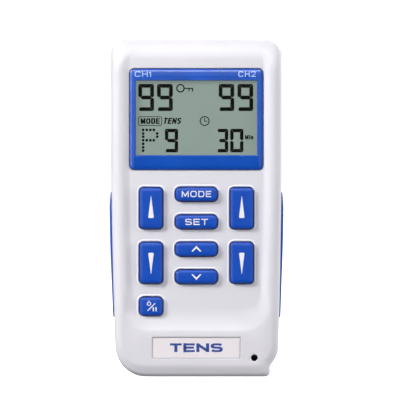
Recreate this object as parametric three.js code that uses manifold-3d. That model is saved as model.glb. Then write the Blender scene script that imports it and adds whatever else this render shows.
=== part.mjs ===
// A two-channel handheld nerve stimulator (TENS unit), as an assembly of separate solids in millimetres.
// It stands upright: +Z is up, the keys and display face -Y, and the belt clip is on the +Y side.
// The origin is on the flat bottom edge, in the middle of the width, 2 mm in front of the parting plane.
import * as THREE from "three";
import { mergeVertices } from "three/addons/utils/BufferGeometryUtils.js";
import Module from "manifold-3d";

const wasm = await Module();
wasm.setup();

// ---------------------------------------------------------------- driving dimensions

const GAP = 0.3; // clearance between neighbouring pieces
const HEIGHT = 120;
const HALF_WIDTH = 30.3;
const WALL = 1.9;

// Depths, front to back.
const RIM_Y = -13.4; // crest of the raised rim beside and below the front panel
const TOP_RIM_Y = -12.25; // the rim dies out towards the top, down to this depth
const PANEL_Y = -12.2; // the recessed panel that carries the keys
const PANEL_BACK_Y = -10.4;
const FRONT_EDGE_Y = -8; // where the side walls start to roll over into the front
const BOARD_FRONT_Y = -6.6;
const BOARD_BACK_Y = -5;
const REAR_EDGE_Y = 7.6; // where the side walls start to roll over into the back
const BACK_INNER_Y = 10.8;
const BACK_Y = 12.6;
const PARTING_Y = 2; // where the two shells meet
const PARTING_GAP = 0.15; // each shell stops this far from the parting plane

// Front surface.
const CORNER_R = 5;
const TAPER_Z = 68; // below this the sides draw in towards the bottom
const RIDGE_Z = 16.3; // crest between the panel and the chin
const CHIN_DROP = 0.5;
const CHIN_LOW_Z = 6;
const RIM_FADE = [109, 119.5]; // heights between which the rim dies out
const CHIN_SIDE_DROP = 0.6; // how far the chin falls away at its two ends
const CHIN_SIDE = [14, 26]; // between these distances from the middle
const CHIN_FADE = [14, 25]; // and no more above these heights
const RAMP_FADE = [23, 31]; // the panel's edge is a crisp ridge below these heights and soft above them
const SPINE_LOW = 34; // the rays that shape the shells leave the line between these two heights
const SPINE_HIGH = 84;

// Keys: name, centre x, centre z, width, height, corner radius.
const SIDE_KEY_X = 16.1;
const SIDE_KEY_W = 8.2;
const SIDE_KEY_H = 14.7;
const CENTRE_KEY_W = 14.9;
const CENTRE_KEY_H = 5;
const KEYS = [
  ["key_channel_1_up", -SIDE_KEY_X, 60, SIDE_KEY_W, SIDE_KEY_H, 1.4],
  ["key_channel_1_down", -SIDE_KEY_X, 40.6, SIDE_KEY_W, SIDE_KEY_H, 1.4],
  ["key_channel_2_up", SIDE_KEY_X, 60, SIDE_KEY_W, SIDE_KEY_H, 1.4],
  ["key_channel_2_down", SIDE_KEY_X, 40.6, SIDE_KEY_W, SIDE_KEY_H, 1.4],
  ["key_mode", 0, 64.95, CENTRE_KEY_W, CENTRE_KEY_H, 1.8],
  ["key_set", 0, 55.15, CENTRE_KEY_W, CENTRE_KEY_H, 1.8],
  ["key_up", 0, 45.45, CENTRE_KEY_W, CENTRE_KEY_H, 1.8],
  ["key_down", 0, 35.65, CENTRE_KEY_W, CENTRE_KEY_H, 1.8],
  ["key_power", -SIDE_KEY_X, 25.15, SIDE_KEY_W, 6.6, 1.6],
];
const KEY_GAP = 0.25; // round each key
const KEY_PROUD = 1.8; // how far a key stands above the panel
const KEY_EDGE = 0.45; // rounding of a key's front edge
const KEY_FLANGE = 0.7; // how far the retaining flange reaches past the aperture
const KEY_FLANGE_Y = -9.3;
const KEY_FOOT_Y = -7.75;
const MAT_FRONT_Y = -7.9;

// Display.
const BEZEL_W = 47.4;
const BEZEL_LOW_Z = 73.6;
const BEZEL_HIGH_Z = 109.6;
const BEZEL_CREST_Y = -13.12;
const BEZEL_SHOULDER_Y = -13;
const BEZEL_RIM_Y = -12.45;
const BEZEL_BACK_Y = -11.3;
const REBATE_Y = -11;
const SCREEN_W = 43.1; // visible opening in the bezel
const SCREEN_H = 26.5;
const SCREEN_Z = 92.1;
const LCD_W = 45.5;
const LCD_SIGHT_W = 44.1; // the front sheet
const LCD_FRONT_Y = -11.45;

// Battery bay and door.
const CELL_R = 7;
const CELL_X = 7.4;
const CELL_Y = 3.4;
const BAY_HALF_W = 15.6;
const BAY_LOW_Z = 10.5;
const BAY_HIGH_Z = 66.5;
const BAY_FLOOR_Y = -3.9;
const DOOR_HALF_W = 18;
const DOOR_LOW_Z = 7.5;
const DOOR_HIGH_Z = 69.5;
const DOOR_INNER_Y = 10.9;
const TAB_X = 9;

// Case screws, lanyard hole, output sockets, belt clip.
const UPPER_SCREW = [24.2, 112.5];
const LOWER_SCREW = [23, 14];
const STRAP_HOLE = [20.6, 6.8];
const STRAP_HOLE_R = 1.2;
const SOCKET_X = 14;
const SOCKET_NOSE_R = 2.9;
const SOCKET_HOLE_R = 1.8;
const PIVOT_Y = 16.6;
const PIVOT_Z = 106;
const LEVER_HALF_W = 9.9;
const LEVER_INNER_Y = 18.8;
const LEVER_OUTER_Y = 20.6;

// ---------------------------------------------------------------- materials

const plastic = (color, roughness) => new THREE.MeshStandardMaterial({ color, roughness, metalness: 0 });
const metal = (color, roughness) => new THREE.MeshStandardMaterial({ color, roughness, metalness: 1 });

const whiteCase = plastic(0xe8e7ec, 0.45);
const bluePlastic = plastic(0x1f55b8, 0.3);
const blueRubber = plastic(0x1c50b4, 0.5);
const gripRubber = plastic(0x2a5cc0, 0.7);
const labelFilm = plastic(0xece8ea, 0.5);
const lcdGlass = plastic(0x9fb0a8, 0.3);
const greyRubber = plastic(0x9a9ca0, 0.8);
const blackPlastic = plastic(0x1a1a1c, 0.5);
const greenBoard = plastic(0x1c6a3c, 0.5);
const yellowTape = plastic(0xd8b23a, 0.6);
const cellSleeve = plastic(0x3a3f46, 0.35);
const clearWindow = new THREE.MeshStandardMaterial({
  color: 0xffffff,
  roughness: 0.05,
  transparent: true,
  opacity: 0.15,
});
const zincSteel = metal(0xb8bcc0, 0.35);
const springSteel = metal(0xa8acb0, 0.3);

// ---------------------------------------------------------------- solids and booleans

// A closed three.js geometry as a manifold-3d solid.
function solid(geometry) {
  const bare = geometry.clone();
  bare.deleteAttribute("normal");
  bare.deleteAttribute("uv");
  const merged = mergeVertices(bare, 1e-4);
  return new wasm.Manifold(
    new wasm.Mesh({
      numProp: 3,
      vertProperties: merged.getAttribute("position").array,
      triVerts: new Uint32Array(merged.index.array),
    }),
  );
}

// A manifold-3d solid as a three.js geometry.
function geometryOf(body) {
  const mesh = body.getMesh();
  const geometry = new THREE.BufferGeometry();
  geometry.setAttribute("position", new THREE.BufferAttribute(new Float32Array(mesh.vertProperties), 3));
  geometry.setIndex(new THREE.BufferAttribute(new Uint32Array(mesh.triVerts), 1));
  geometry.computeVertexNormals();
  return geometry;
}

const join = (...bodies) => bodies.reduce((a, b) => a.add(b));
const cut = (body, ...tools) => tools.reduce((a, b) => a.subtract(b), body);

function box(x0, x1, y0, y1, z0, z1) {
  const geometry = new THREE.BoxGeometry(x1 - x0, y1 - y0, z1 - z0);
  geometry.translate((x0 + x1) / 2, (y0 + y1) / 2, (z0 + z1) / 2);
  return solid(geometry);
}

// Cylinders along each axis, given by the other two coordinates of their axis.
function cylinderY(r, y0, y1, x, z, sides = 16) {
  const geometry = new THREE.CylinderGeometry(r, r, y1 - y0, sides);
  geometry.translate(x, (y0 + y1) / 2, z);
  return solid(geometry);
}

function cylinderX(r, x0, x1, y, z, sides = 16) {
  const geometry = new THREE.CylinderGeometry(r, r, x1 - x0, sides);
  geometry.rotateZ(Math.PI / 2);
  geometry.translate((x0 + x1) / 2, y, z);
  return solid(geometry);
}

function cylinderZ(r, z0, z1, x, y, sides = 16) {
  const geometry = new THREE.CylinderGeometry(r, r, z1 - z0, sides);
  geometry.rotateX(Math.PI / 2);
  geometry.translate(x, y, (z0 + z1) / 2);
  return solid(geometry);
}

// A rectangle with round corners, centred on (x, z).
function roundedRect(width, height, r, x = 0, z = 0) {
  const shape = new THREE.Shape();
  const [w, h] = [width / 2 - r, height / 2 - r];
  shape.absarc(x + w, z + h, r, 0, Math.PI / 2);
  shape.absarc(x - w, z + h, r, Math.PI / 2, Math.PI);
  shape.absarc(x - w, z - h, r, Math.PI, 1.5 * Math.PI);
  shape.absarc(x + w, z - h, r, 1.5 * Math.PI, 2 * Math.PI);
  return shape;
}

// A shape drawn in (x, z), seen from the front, made solid between two depths.
function slab(shape, yFront, yBack, curveSegments = 3) {
  const geometry = new THREE.ExtrudeGeometry(shape, {
    depth: yBack - yFront,
    bevelEnabled: false,
    curveSegments,
  });
  geometry.rotateX(Math.PI / 2);
  geometry.translate(0, yBack, 0);
  return solid(geometry);
}

// A shape drawn in (y, z), seen from the left, made solid between two widths.
function sideSlab(shape, x0, x1, curveSegments = 3) {
  const geometry = new THREE.ExtrudeGeometry(shape, { depth: x1 - x0, bevelEnabled: false, curveSegments });
  geometry.rotateX(Math.PI / 2);
  geometry.rotateZ(Math.PI / 2);
  geometry.translate(x0, 0, 0);
  return solid(geometry);
}

// A round wire along a path.
function wire(path, r, steps, sides = 6) {
  const section = new THREE.Shape();
  for (let i = 0; i < sides; i++) {
    const a = (2 * Math.PI * i) / sides;
    if (i === 0) section.moveTo(r, 0);
    else section.lineTo(r * Math.cos(a), r * Math.sin(a));
  }
  return solid(new THREE.ExtrudeGeometry(section, { steps, extrudePath: path, bevelEnabled: false }));
}

// ---------------------------------------------------------------- case curves, in (x, z)

// The case's outline. The notch low on the right lets a wrist strap lie beside its hole.
function outlineCurve() {
  const p = new THREE.Path();
  p.moveTo(-17.6, 0);
  p.lineTo(24.3, 0);
  p.quadraticCurveTo(26.3, 0, 26.3, 2.2);
  p.lineTo(26.3, 3.8);
  p.bezierCurveTo(26.7, 5, 29.15, 6.3, 29.3, 11.2);
  p.quadraticCurveTo(30, 42, HALF_WIDTH, TAPER_Z);
  p.lineTo(HALF_WIDTH, HEIGHT - CORNER_R);
  p.absarc(HALF_WIDTH - CORNER_R, HEIGHT - CORNER_R, CORNER_R, 0, Math.PI / 2);
  p.absarc(CORNER_R - HALF_WIDTH, HEIGHT - CORNER_R, CORNER_R, Math.PI / 2, Math.PI);
  p.lineTo(-HALF_WIDTH, TAPER_Z);
  p.quadraticCurveTo(-30, 42, -29, 11);
  p.bezierCurveTo(-28.6, 4.2, -23.6, 0, -17.6, 0);
  return p;
}

// A curve with the same tapered sides, mirrored left to right.
// Its half widths are those above and below the taper.
function taperedCurve(wide, narrow, lowZ, highZ, lowR, highR) {
  const p = new THREE.Path();
  p.moveTo(lowR - narrow, lowZ);
  p.lineTo(narrow - lowR, lowZ);
  p.quadraticCurveTo(narrow, lowZ, narrow, lowZ + lowR);
  p.quadraticCurveTo((wide + narrow) / 2 + 0.25, 45, wide, TAPER_Z);
  p.lineTo(wide, highZ - highR);
  p.absarc(wide - highR, highZ - highR, highR, 0, Math.PI / 2);
  p.absarc(highR - wide, highZ - highR, highR, Math.PI / 2, Math.PI);
  p.lineTo(-wide, TAPER_Z);
  p.quadraticCurveTo(-(wide + narrow) / 2 - 0.25, 45, -narrow, lowZ + lowR);
  p.quadraticCurveTo(-narrow, lowZ, lowR - narrow, lowZ);
  return p;
}

const outline = outlineCurve();

// Where the front stops rolling over, the crest of the rim on the panel's side, the edge of the flat panel,
// and where the back stops rolling over.
const rollEnd = taperedCurve(27.4, 26.1, 4.8, 112.6, 8, 4);
const recessOuter = taperedCurve(27, 25.8, RIDGE_Z, 119.4, 9, 7);
const recessInner = taperedCurve(23.3, 22.3, 24.5, 117, 5, 5);
const backFlat = taperedCurve(25.2, 23.4, 5, 115, 4, 4);

// ---------------------------------------------------------------- rays that shape the shells

// Each ray leaves the spine, a vertical line in the middle of the case. Its place is one number,
// through the fan below the spine, up the right side, through the fan above and down the left side.
const SPAN = SPINE_HIGH - SPINE_LOW;

function placeOf(x, z) {
  if (z < SPINE_LOW) return Math.atan2(z - SPINE_LOW, x) + Math.PI;
  if (z > SPINE_HIGH) return Math.PI + 1 + Math.atan2(z - SPINE_HIGH, x);
  return x > 0 ? Math.PI + (z - SPINE_LOW) / SPAN : 2 * Math.PI + 1 + (SPINE_HIGH - z) / SPAN;
}

function rayAt(place) {
  if (place < Math.PI) {
    const a = place - Math.PI;
    return { z: SPINE_LOW, dx: Math.cos(a), dz: Math.sin(a) };
  }
  if (place < Math.PI + 1) return { z: SPINE_LOW + (place - Math.PI) * SPAN, dx: 1, dz: 0 };
  if (place < 2 * Math.PI + 1) {
    const a = place - Math.PI - 1;
    return { z: SPINE_HIGH, dx: Math.cos(a), dz: Math.sin(a) };
  }
  return { z: SPINE_HIGH - (place - 2 * Math.PI - 1) * SPAN, dx: -1, dz: 0 };
}

// How far along a ray a curve lies.
function reach(ray, points) {
  let best = 0;
  for (let i = 0; i < points.length; i++) {
    const a = points[i];
    const b = points[(i + 1) % points.length];
    const [ex, ez] = [b.x - a.x, b.y - a.y];
    const det = ez * ray.dx - ex * ray.dz;
    if (Math.abs(det) < 1e-12) continue;
    const [px, pz] = [a.x, a.y - ray.z];
    const along = (ez * px - ex * pz) / det;
    const share = (ray.dz * px - ray.dx * pz) / det;
    if (along > 0 && share > -1e-9 && share < 1 + 1e-9) best = Math.max(best, along);
  }
  return best;
}

const FINE = 24; // divisions of each curve that a ray is measured against
const COARSE = 3; // divisions of each curve that set the rays
const CLOSEST = 0.045;

// The rays that pass through the given curves' own points, with neighbours kept apart.
function raysThrough(...curves) {
  const places = curves.flatMap((c) => c.getPoints(COARSE).map((p) => placeOf(p.x, p.y)));
  places.sort((a, b) => a - b);
  const kept = places.filter((p, i) => i === 0 || p - places[i - 1] > 1e-6);
  const spaced = [];
  for (const p of kept) if (!spaced.length || p - spaced[spaced.length - 1] > CLOSEST) spaced.push(p);
  return spaced.map(rayAt);
}

const finePoints = (curve) => curve.getPoints(FINE);
const pointOn = (ray, distance, y) => new THREE.Vector3(ray.dx * distance, y, ray.z + ray.dz * distance);

// A closed solid from rings of equal length, with a flat fan at each end.
function loft(rings) {
  const count = rings[0].length;
  const position = [];
  rings.forEach((ring) => ring.forEach((p) => position.push(p.x, p.y, p.z)));
  const index = [];
  for (let k = 0; k + 1 < rings.length; k++)
    for (let i = 0; i < count; i++) {
      const j = (i + 1) % count;
      const [a, b, c, d] = [k * count + i, k * count + j, (k + 1) * count + j, (k + 1) * count + i];
      index.push(a, b, c, a, c, d);
    }
  const cap = (ring, first, flip) => {
    const centre = position.length / 3;
    position.push(0, ring[0].y, HEIGHT / 2);
    for (let i = 0; i < count; i++) {
      const [a, b] = [first + i, first + ((i + 1) % count)];
      if (flip) index.push(centre, b, a);
      else index.push(centre, a, b);
    }
  };
  cap(rings[0], 0, true);
  cap(rings[rings.length - 1], (rings.length - 1) * count, false);
  const geometry = new THREE.BufferGeometry();
  geometry.setAttribute("position", new THREE.Float32BufferAttribute(position, 3));
  geometry.setIndex(index);
  const made = solid(geometry);
  if (made.volume() > 0) return made;
  for (let i = 0; i < index.length; i += 3) [index[i + 1], index[i + 2]] = [index[i + 2], index[i + 1]];
  geometry.setIndex(index);
  return solid(geometry);
}

// ---------------------------------------------------------------- front and rear case blanks

const smooth = (t) => t * t * (3 - 2 * t);
const clamp01 = (t) => Math.min(1, Math.max(0, t));
const between = (z, [low, high]) => clamp01((z - low) / (high - low)); // 0 below, 1 above

// Height of the roll-over as a share, from 0 at the outline to 1 at its inner end. At the sides and bottom
// it is a tight round edge and then a sloping face that levels out. At the top it is one long round.
const EDGE_WIDTH = 0.26;
const EDGE_HEIGHT = 0.7;
const LEVEL_OUT = 0.4;
const ROUND_TOP = [107, 116];

function rollShare(u, z) {
  const round = (t) => Math.sqrt(1 - (1 - t) * (1 - t));
  const eased = 1 - LEVEL_OUT / 2;
  const face = u < 1 - LEVEL_OUT ? u / eased : 1 - (1 - u) ** 2 / (2 * LEVEL_OUT * eased);
  const low = EDGE_HEIGHT * round(Math.min(1, u / EDGE_WIDTH)) + (1 - EDGE_HEIGHT) * face;
  const top = smooth(between(z, ROUND_TOP));
  return low * (1 - top) + round(u) * top;
}

// Depth of the front surface at a distance along a ray, from the distances of its four curves.
function frontDepth(ray, d, at) {
  const z = ray.z + ray.dz * d;
  const roll = rollShare(clamp01((at.outline - d) / (at.outline - at.rollEnd)), z);
  const end = between(Math.abs(ray.dx * d), CHIN_SIDE) ** 2 * (1 - smooth(between(z, CHIN_FADE)));
  const rim = RIM_Y + (TOP_RIM_Y - RIM_Y) * smooth(between(z, RIM_FADE)) + CHIN_SIDE_DROP * end;
  const crest = rim + CHIN_DROP * (1 - between(z, [CHIN_LOW_Z, RIDGE_Z]));
  const v = clamp01((at.recessOuter - d) / (at.recessOuter - at.recessInner));
  const ramp = 1 - (1 - v) * (1 - v);
  const soft = between(z, RAMP_FADE);
  const dish = smooth(v) * soft + ramp * (1 - soft);
  return FRONT_EDGE_Y + (crest - FRONT_EDGE_Y) * roll + (PANEL_Y - rim) * dish;
}

const FRONT_ROLL = [0.03, 0.11, EDGE_WIDTH, 1 - LEVEL_OUT, 0.8, 1]; // shares of the roll-over's width
const DISH_STEPS = 4;
const BACK_ROLL_STEPS = 3;

function frontBlank() {
  const curves = { outline, rollEnd, recessOuter, recessInner };
  const fine = Object.fromEntries(Object.entries(curves).map(([k, c]) => [k, finePoints(c)]));
  const rays = raysThrough(...Object.values(curves));
  const columns = rays.map((ray) => {
    const at = Object.fromEntries(Object.entries(fine).map(([k, points]) => [k, reach(ray, points)]));
    const distances = FRONT_ROLL.map((u) => at.outline + (at.rollEnd - at.outline) * u);
    for (let i = 0; i <= DISH_STEPS; i++)
      distances.push(at.recessOuter + (at.recessInner - at.recessOuter) * (i / DISH_STEPS));
    distances.sort((a, b) => b - a);
    const face = distances.map((d) => pointOn(ray, d, frontDepth(ray, d, at)));
    const side = [PARTING_Y - PARTING_GAP, FRONT_EDGE_Y].map((y) => pointOn(ray, at.outline, y));
    return [...side, ...face];
  });
  const last = columns[0].length - 1;
  columns.forEach((c) => (c[last].y = PANEL_Y));
  return loft(columns[0].map((_, k) => columns.map((c) => c[k])));
}

// A plain prism that follows the outline, drawn in by a distance that may change with depth.
function insetLoft(levels) {
  const points = finePoints(outline);
  const rays = raysThrough(outline);
  return loft(levels.map(([inset, y]) => rays.map((ray) => pointOn(ray, reach(ray, points) - inset, y))));
}

function rearBlank() {
  const [outer, inner] = [finePoints(outline), finePoints(backFlat)];
  const rays = raysThrough(outline, backFlat);
  const side = [PARTING_Y + PARTING_GAP, REAR_EDGE_Y];
  const rings = side.map((y) => rays.map((ray) => pointOn(ray, reach(ray, outer), y)));
  for (let i = 1; i <= BACK_ROLL_STEPS; i++) {
    const a = (i / BACK_ROLL_STEPS) * (Math.PI / 2);
    const y = REAR_EDGE_Y + (BACK_Y - REAR_EDGE_Y) * Math.sin(a);
    rings.push(
      rays.map((ray) => {
        const [far, near] = [reach(ray, outer), reach(ray, inner)];
        return pointOn(ray, far + (near - far) * (1 - Math.cos(a)), y);
      }),
    );
  }
  return loft(rings);
}

// ---------------------------------------------------------------- side grips

const GRIP_LOW_Z = 20.8;
const GRIP_HIGH_Z = 65.8;
const GRIP_FRONT_Y = -6.5;
const GRIP_BACK_Y = 7;
const GRIP_DEPTH = 0.9; // how far it is let into the case

// The pad's outline in (y, z): a square-cut top and a long round foot.
function gripOutline(grow) {
  const [y0, y1] = [GRIP_FRONT_Y - grow, GRIP_BACK_Y + grow];
  const [z0, z1] = [GRIP_LOW_Z - grow, GRIP_HIGH_Z + grow];
  const [top, foot] = [2 + grow, 14];
  const shape = new THREE.Shape();
  shape.moveTo(y0, z0 + foot);
  shape.quadraticCurveTo(y0, z0, (y0 + y1) / 2, z0);
  shape.quadraticCurveTo(y1, z0, y1, z0 + foot);
  shape.lineTo(y1, z1 - top);
  shape.quadraticCurveTo(y1, z1, y1 - top, z1);
  shape.lineTo(y0 + top, z1);
  shape.quadraticCurveTo(y0, z1, y0, z1 - top);
  return shape;
}

// Half the case's width at a height between the notch and the top corners.
const gripRayPoints = finePoints(outline);
const halfWidthAt = (z, side) => reach({ z, dx: side, dz: 0 }, gripRayPoints);

// The grip's face stands proud of the case, most of all near its upper end.
function gripProud(z) {
  const t = (z - GRIP_LOW_Z) / (GRIP_HIGH_Z - GRIP_LOW_Z);
  return 0.62 + 0.29 * smooth(clamp01((t - 0.15) / 0.5)) - 12.5 * Math.max(0, t - 0.8) ** 2;
}

// The band between two surfaces that follow the side of the case, in front view, at full depth.
function sideBand(side, innerOffset, outerOffset, z0, z1) {
  const steps = 8;
  const shape = new THREE.Shape();
  for (let i = 0; i <= steps; i++) {
    const z = z0 + ((z1 - z0) * i) / steps;
    const x = side * (halfWidthAt(z, side) + outerOffset(z));
    if (i === 0) shape.moveTo(x, z);
    else shape.lineTo(x, z);
  }
  for (let i = steps; i >= 0; i--) {
    const z = z0 + ((z1 - z0) * i) / steps;
    shape.lineTo(side * (halfWidthAt(z, side) - innerOffset), z);
  }
  return slab(shape, -20, 20);
}

function grip(side) {
  const band = sideBand(side, GRIP_DEPTH, gripProud, GRIP_LOW_Z - 1, GRIP_HIGH_Z + 1);
  const reachX = [25, 35].map((x) => side * x).sort((a, b) => a - b);
  return band.intersect(sideSlab(gripOutline(0), ...reachX));
}

function gripPocket(side) {
  const band = sideBand(side, GRIP_DEPTH + GAP, () => 3, GRIP_LOW_Z - 2, GRIP_HIGH_Z + 2);
  const reachX = [25, 35].map((x) => side * x).sort((a, b) => a - b);
  return band.intersect(sideSlab(gripOutline(GAP), ...reachX));
}

// ---------------------------------------------------------------- case shells

const SCREW_SPOTS = [
  ["upper_left", -UPPER_SCREW[0], UPPER_SCREW[1]],
  ["upper_right", ...UPPER_SCREW],
  ["lower_left", -LOWER_SCREW[0], LOWER_SCREW[1]],
  ["lower_right", ...LOWER_SCREW],
];
const BOARD_SCREW_X = 23;
const BOARD_SCREW_Z = 71;
const BEZEL_Z = (BEZEL_LOW_Z + BEZEL_HIGH_Z) / 2;
const BEZEL_H = BEZEL_HIGH_Z - BEZEL_LOW_Z;

// The name plate lies in the chin's slope.
const PLATE_W = 31;
const PLATE_H = 7.2;
const PLATE_Z = 10.35;
const PLATE_THICK = 0.6;
const CHIN_TILT = Math.atan2(CHIN_DROP, RIDGE_Z - CHIN_LOW_Z);
const chinY = (z) => RIM_Y + (CHIN_DROP * (RIDGE_Z - z)) / (RIDGE_Z - CHIN_LOW_Z);

// A plate of the given size, its front a little under the chin's face.
function chinPlate(grow, front, back) {
  const geometry = new THREE.BoxGeometry(PLATE_W + 2 * grow, back - front, PLATE_H + 2 * grow);
  geometry.translate(0, (front + back) / 2, 0);
  geometry.rotateX(-CHIN_TILT);
  geometry.translate(0, chinY(PLATE_Z), PLATE_Z);
  return solid(geometry);
}

function keyAperture([, x, z, w, h, r]) {
  return slab(roundedRect(w + 2 * KEY_GAP, h + 2 * KEY_GAP, r + KEY_GAP, x, z), -15, -9, 2);
}

// Round notches in the top wall for the output sockets' noses.
const socketHole = (x) => cylinderZ(SOCKET_NOSE_R + GAP, 115, 122, x, 0, 20);

function frontCover() {
  const cavity = join(
    insetLoft([
      [WALL, PARTING_Y + 1],
      [WALL, -8],
    ]),
    insetLoft([
      [WALL + 1.4, -7],
      [WALL + 1.4, PANEL_BACK_Y],
    ]),
  );
  const shell = cut(frontBlank(), cavity);
  const bosses = SCREW_SPOTS.map(([, x, z]) => cylinderY(3, -10.8, PARTING_Y - PARTING_GAP, x, z, 14));
  const boardBosses = [-1, 1].map((s) =>
    cylinderY(2, -10.8, BOARD_FRONT_Y - GAP, s * BOARD_SCREW_X, BOARD_SCREW_Z, 16),
  );
  const pilots = SCREW_SPOTS.map(([, x, z]) => cylinderY(1.45, -6.5, 3, x, z, 12));
  const boardPilots = [-1, 1].map((s) => cylinderY(1.2, -9.8, 0, s * BOARD_SCREW_X, BOARD_SCREW_Z, 12));
  const rebate = slab(roundedRect(BEZEL_W + 2 * GAP, BEZEL_H + 2 * GAP, 1.9, 0, BEZEL_Z), -15, REBATE_Y);
  const opening = slab(roundedRect(LCD_W + 2 * GAP, 31.1, 0.6, 0, SCREEN_Z), -15, -5);
  return cut(
    join(shell, ...bosses, ...boardBosses),
    ...pilots,
    ...boardPilots,
    rebate,
    opening,
    ...KEYS.map(keyAperture),
    chinPlate(GAP, -3, PLATE_THICK + GAP),
    cylinderY(STRAP_HOLE_R, -15, -8, ...STRAP_HOLE, 24),
    cylinderX(1.4, 22, 30, -5.5, 5.4, 16),
    ...[-SOCKET_X, SOCKET_X].map(socketHole),
    gripPocket(-1),
    gripPocket(1),
  );
}

function rearCover() {
  const cavity = insetLoft([
    [WALL, -1],
    [WALL, 7],
    [WALL + 1.2, 9.4],
    [5.4, BACK_INNER_Y],
  ]);
  const bay = box(-BAY_HALF_W - 1, BAY_HALF_W + 1, BAY_FLOOR_Y - 0.8, 11, BAY_LOW_Z - 1, BAY_HIGH_Z + 1);
  const doorZ = (DOOR_LOW_Z + DOOR_HIGH_Z) / 2;
  const doorH = DOOR_HIGH_Z - DOOR_LOW_Z;
  const ledge = slab(roundedRect(2 * DOOR_HALF_W + 2.6, doorH + 2.6, 3.5, 0, doorZ), 9.4, 11);
  const bosses = SCREW_SPOTS.map(([, x, z]) => cylinderY(4, PARTING_Y + PARTING_GAP, 11, x, z));
  const clipBosses = [-1, 1].map((s) => cylinderY(2.2, 7.5, 11, s * CLIP_SCREW_X, CLIP_SCREW_Z, 16));
  const divider = box(-0.35, 0.35, BAY_FLOOR_Y - 0.2, -1.4, BAY_LOW_Z - 0.5, BAY_HIGH_Z + 0.5);
  const shell = cut(
    join(cut(rearBlank(), cavity), bay, ledge, ...bosses, ...clipBosses),
    box(-BAY_HALF_W, BAY_HALF_W, BAY_FLOOR_Y, 14, BAY_LOW_Z, BAY_HIGH_Z),
    slab(roundedRect(2 * DOOR_HALF_W + 2 * GAP, doorH + 2 * GAP, 3, 0, doorZ), DOOR_INNER_Y - GAP, 14),
    ...SCREW_SPOTS.map(([, x, z]) => cylinderY(2.9, 9.2, 14, x, z)),
    ...SCREW_SPOTS.map(([, x, z]) => cylinderY(1.5, 0, 10, x, z, 12)),
    ...[-1, 1].map((s) => cylinderY(1.1, 8.5, 14, s * CLIP_SCREW_X, CLIP_SCREW_Z, 12)),
    ...[-1, 1].map((s) => box(s * TAB_X - 3, s * TAB_X + 3, 9, 10.95, 5.2, 11.4)),
    // slots in the bay's floor for the terminals' tails
    ...[-CELL_X, CELL_X].map((x) => box(x - 1.8, x + 1.8, -5, -3, BAY_HIGH_Z - 1.2, BAY_HIGH_Z - 0.05)),
    // a nail notch over the door's upper edge
    cylinderY(5, 11.6, 14, 0, DOOR_HIGH_Z - 1.5, 24),
    ...[-SOCKET_X, SOCKET_X].map(socketHole),
    gripPocket(-1),
    gripPocket(1),
  );
  return join(shell, divider);
}

// The door hooks under the case's lower edge and closes flush with the back.
function batteryDoor() {
  const doorZ = (DOOR_LOW_Z + DOOR_HIGH_Z) / 2;
  const plan = roundedRect(2 * DOOR_HALF_W, DOOR_HIGH_Z - DOOR_LOW_Z, 2.7, 0, doorZ);
  const panel = slab(plan, DOOR_INNER_Y, BACK_Y);
  const tabs = [-1, 1].map((s) =>
    join(
      box(s * TAB_X - 2.3, s * TAB_X + 2.3, 9.6, DOOR_INNER_Y + 0.2, DOOR_LOW_Z + 0.2, DOOR_LOW_Z + 1.4),
      box(s * TAB_X - 2.3, s * TAB_X + 2.3, 9.6, 10.5, 6, DOOR_LOW_Z + 1.4),
    ),
  );
  // thumb grooves across its upper end
  const grooves = [55, 57, 59, 61, 63].map((z) => box(-6, 6, BACK_Y - 0.5, BACK_Y + 1, z, z + 0.9));
  return cut(join(panel, ...tabs), ...grooves);
}

// ---------------------------------------------------------------- display

function displayBezel() {
  const outer = roundedRect(BEZEL_W, BEZEL_H, 1.6, 0, BEZEL_Z);
  const base = slab(outer, BEZEL_RIM_Y, BEZEL_BACK_Y);
  // The frame's four faces rise steeply from its rim, and gently on to the screen's edge.
  const rise = (w, h, z, y) =>
    [
      [w / 2, z - h / 2],
      [w / 2, z + h / 2],
      [-w / 2, z + h / 2],
      [-w / 2, z - h / 2],
    ].map(([x, zz]) => new THREE.Vector3(x, y, zz));
  const crown = loftBetween([
    rise(BEZEL_W - 0.7, BEZEL_H - 0.7, BEZEL_Z, BEZEL_RIM_Y + 0.2),
    rise(BEZEL_W - 0.7, BEZEL_H - 0.7, BEZEL_Z, BEZEL_RIM_Y - 0.1),
    rise(BEZEL_W - 2.6, BEZEL_H - 2.6, BEZEL_Z, BEZEL_SHOULDER_Y),
    rise(SCREEN_W, SCREEN_H, SCREEN_Z, BEZEL_CREST_Y),
  ]);
  const window = slab(roundedRect(SCREEN_W + 1.6, SCREEN_H + 1.6, 0.6, 0, SCREEN_Z), -12.4, -5);
  const screen = slab(roundedRect(SCREEN_W, SCREEN_H, 0.4, 0, SCREEN_Z), -15, -5);
  return cut(join(base, crown), window, screen);
}

// A convex solid between rings of four corners, capped flat.
function loftBetween(rings) {
  const position = rings.flat().flatMap((p) => [p.x, p.y, p.z]);
  const index = [];
  for (let k = 0; k + 1 < rings.length; k++)
    for (let i = 0; i < 4; i++) {
      const j = (i + 1) % 4;
      const [a, b, c, d] = [4 * k + i, 4 * k + j, 4 * k + 4 + j, 4 * k + 4 + i];
      index.push(a, b, c, a, c, d);
    }
  const last = 4 * (rings.length - 1);
  index.push(0, 2, 1, 0, 3, 2, last, last + 1, last + 2, last, last + 2, last + 3);
  const geometry = new THREE.BufferGeometry();
  geometry.setAttribute("position", new THREE.Float32BufferAttribute(position, 3));
  geometry.setIndex(index);
  const made = solid(geometry);
  if (made.volume() > 0) return made;
  for (let i = 0; i < index.length; i += 3) [index[i + 1], index[i + 2]] = [index[i + 2], index[i + 1]];
  geometry.setIndex(index);
  return solid(geometry);
}

const displayWindow = () =>
  slab(roundedRect(SCREEN_W + 1, SCREEN_H + 1, 0.5, 0, SCREEN_Z), -12.15, LCD_FRONT_Y - GAP, 2);

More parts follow.
